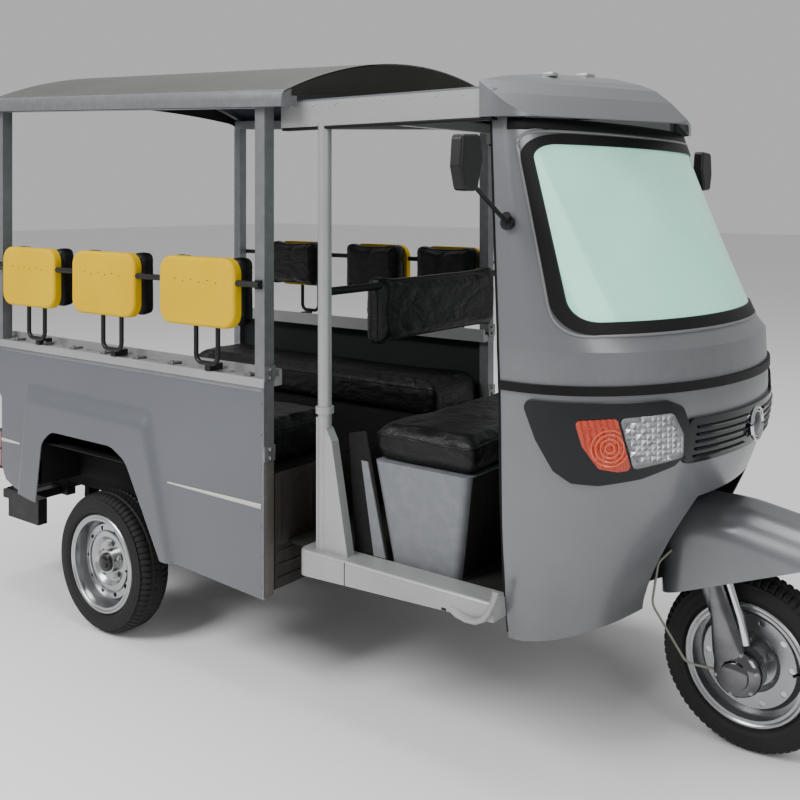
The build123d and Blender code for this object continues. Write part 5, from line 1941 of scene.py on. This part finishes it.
    def door_trims(self) -> None:
        """Edge the door openings with a dark rubber bead."""
        levels = [
            (400, 1559, 570), (560, 1559, 593), (800, 1556, 603), (1056, 1554, 606), (1085, 1553, 606),
            (1168, 1549, 605), (1212, 1547, 603), (1500, 1528, 591), (1780, 1511, 579),
        ]
        path = [at(x - 1.0, -half, z) for z, x, half in levels]
        mesh = self.shop.tube(path, 0.003, sides=8)
        self.shop.add("door_trim_left", self.shop.mirrored(mesh), "rubber")
        self.shop.add("door_trim_right", mesh, "rubber")

    def sill_dress(self) -> None:
        """Add the sill's seams and its hook bracket."""
        hooks, seams = [], []
        for side in (-1, 1):
            path = [at(x, side * y, z) for x, y, z in (
                (1424, 640, 452), (1450, 648, 444), (1480, 651, 440), (1510, 652, 442), (1533, 652, 454),
                (1549, 651, 474),
                (1560, 648, 502), (1565, 642, 532))]
            hooks.append(self.shop.tube(path, 0.0135, sides=12, flat=0.6))
            y0, y1 = spread(side, SILL_OUT + 0.8, SILL_OUT - 0.6)
            seams.append(self.shop.block((1042.0, y0, 424.0), (1045.0, y1, 494.0), 0.6))
            seams.append(self.shop.block((1392.0, y0, 442.0), (1408.0, y1, 449.0), 0.6))
        self.shop.add("sill_hooks", self.shop.joined(hooks), "pale_grey")
        self.shop.add("sill_seams", self.shop.joined(seams), "rubber")

    def seat_side_panels(self) -> None:
        """Add the panels beside the driver's seat box, a dark sheet of painted shade over its front face and
        the sleeve of the bar behind.
        """
        panels, strips = [], []
        for side in (-1, 1):
            for outline, y, thick, into in (
                ([(1010, 500), (984, 850), (1052, 866), (1136, 500)], 551.0, 4.0, panels),
                ([(1086, 500), (1038, 776), (1062, 776), (1130, 500)], 555.0, 5.0, strips),
            ):
                y0, y1 = spread(side, y, y + thick)
                into.append(self.shop.prism(outline, y0, y1))
        self.shop.add("seat_side_panels", self.shop.joined(panels), "chassis_black")
        self.shop.add("seat_side_strips", self.shop.joined(strips), "box_grey")
        # A dark sheet over the seat box's front face: painted shade, as that face is in shadow.
        rows = []
        for z in (484.0, 630.0, 776.0):
            x = 1376.0 + (z - 480.3) * 36.0 / 299.7 + 1.2
            rows.append([at(x, 518.0 * (k / 10 - 1), z) for k in range(21)])
        self.shop.add("seat_box_front_painted_shade", self.shop.ribbon(rows, 0.001), "rubber_mat")
        sleeve = [at(927.0, 590.0 * (k / 10 - 1), 1280.0) for k in range(21)]
        self.shop.add("driver_bar_sleeve", self.shop.tube(sleeve, 0.0128, sides=16), "black_paint")

    def dash(self) -> None:
        """Add the round gauge and switches of the dashboard."""
        centre = at(1789.0, 0.0, 1050.0)
        ring = [centre + Vector((-0.004, 0.03 * math.cos(t), 0.016 * math.sin(t))) for t in turns(32)]
        self.shop.add("gauge_ring", self.shop.tube(ring, 0.003, closed=True, sides=8), "chrome")
        knobs = [(at(1789.0, y, 1050.0), Vector((-1, 0, 0))) for y in (-90, -65, 65, 90)]
        self.shop.add("dash_knobs", self.shop.bolts(knobs, 7.0, False), "cast_black")

    def build(self) -> None:
        """Build the cab's trim."""
        self.screen_lips()
        self.visor_shadow_band()
        self.facets("headlamp_facets", (6.0, 868.0, 170.0, 1004.0), "headlamps", (12, 9), "chrome", -5.0)
        self.facets(
            "indicator_facets", (-108.0, 864.0, 30.0, 998.0), "indicators", (9, 10), "amber_lens", -1.0
        )
        self.indicator_rings()
        self.grille()
        self.mirror_glasses()
        self.door_trims()
        self.sill_dress()
        self.seat_side_panels()
        self.dash()


@dataclass
class SteeringDress:
    """Castings, hub and controls of the steering."""

    shop: Shop
    bolt_count: int = 6
    bolt_circle: float = 56.0
    bolt_y: float = -123.0
    grip: float = 0.0175

    def hub(self) -> None:
        """Build the domed brake hub on the right of the front wheel."""
        centre = (FRONT_AXLE_X, 0.0, TYRE_R)
        dome = [
            (64.0, 92.0), (67.5, 97), (68, 108), (64, 120), (54, 129), (40, 134), (37, 142), (30, 146),
            (12, 148), (0.5, 148.5),
        ]
        self.shop.add("brake_hub", self.shop.lathe(dome, centre, 64, -1.0), "dark_chrome", Body.STEERING)
        heads = []
        for k in range(self.bolt_count):
            turn = math.radians(360 // self.bolt_count * k + 15)
            c, s = math.cos(turn), math.sin(turn)
            place = at(FRONT_AXLE_X + self.bolt_circle * c, self.bolt_y, TYRE_R + self.bolt_circle * s)
            heads.append((place, Vector((0.3 * c, -1, 0.3 * s))))
        self.shop.add("brake_hub_bolts", self.shop.bolts(heads, 5.0), "zinc", Body.STEERING)

    def arms(self) -> None:
        """Cast the two swollen arms beside the wheel."""
        stations = (
            (2006, 252, 50, 113, 20), (2001, 286, 50, 113, 21), (1994, 330, 46, 111, 21),
            (1984, 378, 41, 107, 20),
            (1970, 425, 37, 103, 19), (1955, 470, 34, 98, 18), (1940, 512, 31, 95, 17),
            (1926, 548, 28, 93, 16),
        )
        meshes = []
        for side in (-1, 1):
            points, faces, ring = [], [], 20
            for x, z, wide, y, thick in stations:
                for k in range(ring):
                    turn = 2 * math.pi * k / ring
                    c, s = math.cos(turn), math.sin(turn)
                    dx = wide * math.copysign(abs(c) ** 0.8, c)
                    dy = thick * math.copysign(abs(s) ** 0.8, s)
                    points.append(at(x + dx, side * (y + dy), z - 0.35 * dx))
            for i in range(len(stations) - 1):
                for k in range(ring):
                    m = (k + 1) % ring
                    faces.append((i * ring + k, i * ring + m, (i + 1) * ring + m, (i + 1) * ring + k))
            faces += [tuple(range(ring)), tuple((len(stations) - 1) * ring + k for k in range(ring))]
            meshes.append(self.shop.mesh("arm", points, faces))
        self.shop.add("fork_arms", self.shop.joined(meshes), "dark_chrome", Body.STEERING, 50.0)

    def shocks(self) -> None:
        """Add the bright shock tubes in front of the arms."""
        meshes = []
        for side in (-1, 1):
            path = [
                at(2040, side * 104, 330), at(2026, side * 103, 400), at(2000, side * 99, 470),
                at(1974, side * 96, 540),
            ]
            meshes.append(self.shop.tube(path, 0.011, sides=14))
        self.shop.add("fork_shocks", self.shop.joined(meshes), "chrome", Body.STEERING)

    def grips(self) -> None:
        """Ring the handlebar grips and add the brake levers."""
        low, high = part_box("handlebar")
        rings, levers = [], []
        for side in (-1, 1):
            tip = Vector((low.x + self.grip, side * (high.y - 0.01), high.z - 0.016))
            inner = Vector((tip.x + 0.052, side * (high.y - 0.105), tip.z - 0.006))
            for k in range(9):
                centre = tip.lerp(inner, k / 8)
                along = (inner - tip).normalized()
                a = along.orthogonal().normalized()
                b = along.cross(a)
                ring = [centre + a * self.grip * math.cos(t) + b * self.grip * math.sin(t) for t in turns(20)]
                rings.append(self.shop.tube(ring, 0.0016, closed=True, sides=6))
            lever = [
                inner + Vector((0.03, 0, -0.006)), inner.lerp(tip, 0.4) + Vector((0.052, 0, -0.012)),
                tip + Vector((0.05, -side * 0.008, -0.014)),
            ]
            levers.append(self.shop.tube(lever, 0.0055, sides=8, flat=0.6))
        self.shop.add("grip_rings", self.shop.joined(rings), "rubber", Body.STEERING)
        self.shop.add("brake_levers", self.shop.joined(levers), "zinc", Body.STEERING)

    def build(self) -> None:
        """Build the steering's trim."""
        self.hub()
        self.arms()
        self.shocks()
        self.grips()


@dataclass
class Studio:
    """Camera, lights and floor."""

    focal: float = 45.708
    sensor: float = 36.0
    shift: float = -0.2544
    heading: float = 0.6536
    floor_half: float = 40.0
    world_strength: float = 0.52
    eye: Point = (2990.0, -2917.0, 1571.0)

    def camera(self) -> None:
        """Set the camera where the photo was taken."""
        data = bpy.data.cameras.new("photo_camera")
        data.lens = self.focal
        data.sensor_width = self.sensor
        data.shift_y = self.shift
        camera = bpy.data.objects.new("photo_camera", data)
        camera.location = at(*self.eye)
        camera.rotation_euler = (math.pi / 2, 0.0, self.heading)
        bpy.context.scene.collection.objects.link(camera)
        bpy.context.scene.camera = camera

    def light(self, name: str, place: Point, target: Point, size: float, power: float) -> None:
        """Hang one soft light.

        Args:
            name: Name of the light.
            place: Where it hangs, in metres.
            target: Where it points.
            size: Side of its square, in metres.
            power: Watts.
        """
        data = bpy.data.lights.new(name, "AREA")
        data.size = size
        data.energy = power
        lamp = bpy.data.objects.new(name, data)
        lamp.location = place
        lamp.rotation_mode = "QUATERNION"
        lamp.rotation_quaternion = (Vector(place) - Vector(target)).to_track_quat("Z", "Y")
        bpy.context.scene.collection.objects.link(lamp)

    def floor(self) -> None:
        """Lay the plain pale floor."""
        mesh = bpy.data.meshes.new("floor")
        far = self.floor_half
        mesh.from_pydata([(-far, -far, 0), (far, -far, 0), (far, far, 0), (-far, far, 0)], [], [(0, 1, 2, 3)])
        floor = bpy.data.objects.new("floor", mesh)
        material = bpy.data.materials.new("pale_floor")
        material.use_nodes = True
        shader = material.node_tree.nodes["Principled BSDF"]
        shader.inputs["Base Color"].default_value = (0.82, 0.82, 0.82, 1)
        shader.inputs["Roughness"].default_value = 0.9
        mesh.materials.append(material)
        bpy.context.scene.collection.objects.link(floor)

    def build(self) -> None:
        """Build the studio."""
        self.camera()
        self.floor()
        world = bpy.data.worlds.new("studio_world")
        bpy.context.scene.world = world
        world.use_nodes = True
        sky = world.node_tree.nodes["Background"].inputs
        sky["Color"].default_value = (1.0, 1.0, 1.0, 1)
        sky["Strength"].default_value = self.world_strength
        self.light("key", (-1.5, -5.4, 5.6), (0.2, 0.0, 0.9), 3.0, 520.0)
        self.light("front", (6.0, -2.5, 3.6), (0.6, 0.0, 0.9), 3.0, 130.0)
        self.light("top", (0.0, 0.5, 6.5), (0.0, 0.0, 1.0), 4.0, 290.0)


def dress_nodes(shop: Shop, record: dict) -> None:
    """Give each CAD node the finish that its record names.

    Args:
        shop: The shop that holds the materials and nodes.
        record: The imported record.
    """
    wanted = {part["node"]: part["material_slot"] for part in record["subparts"]}
    for name, node in shop.nodes.items():
        material = shop.materials[wanted[name]]
        if node.material_slots:
            for held in node.material_slots:
                held.material = material
        else:
            node.data.materials.append(material)


def main() -> None:
    """Build the studio and dress the vehicle, in order."""
    logging.basicConfig(level=logging.INFO, format="%(message)s")
    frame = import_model()
    effects = Effects()
    shop = Shop({finish.name: finish.build(effects) for finish in FINISHES}, frame["nodes"])
    dress_nodes(shop, frame["record"])
    Studio().build()
    SoftPads(shop).build()
    front = (FRONT_AXLE_X, 0.0, TYRE_R)
    Wheel(
        shop, "front", "front_tyre", Body.FRONT_WHEEL, front, -1.0, FRONT_TYRE_WIDTH, FRONT_DISC_FACE
    ).build()
    for name, body, side in (("right", Body.REAR_RIGHT, -1.0), ("left", Body.REAR_LEFT, 1.0)):
        place = (REAR_AXLE_X, side * REAR_WHEEL_Y, TYRE_R)
        tyre = "rear_tyre_" + name
        Wheel(shop, "rear_" + name, tyre, body, place, side, REAR_TYRE_WIDTH, REAR_DISC_FACE).build()
    TubSkin(shop).build()
    TubDress(shop).build()
    RoofDress(shop).build()
    CabDress(shop).build()
    SteeringDress(shop).build()


if __name__ == "__main__":
    main()
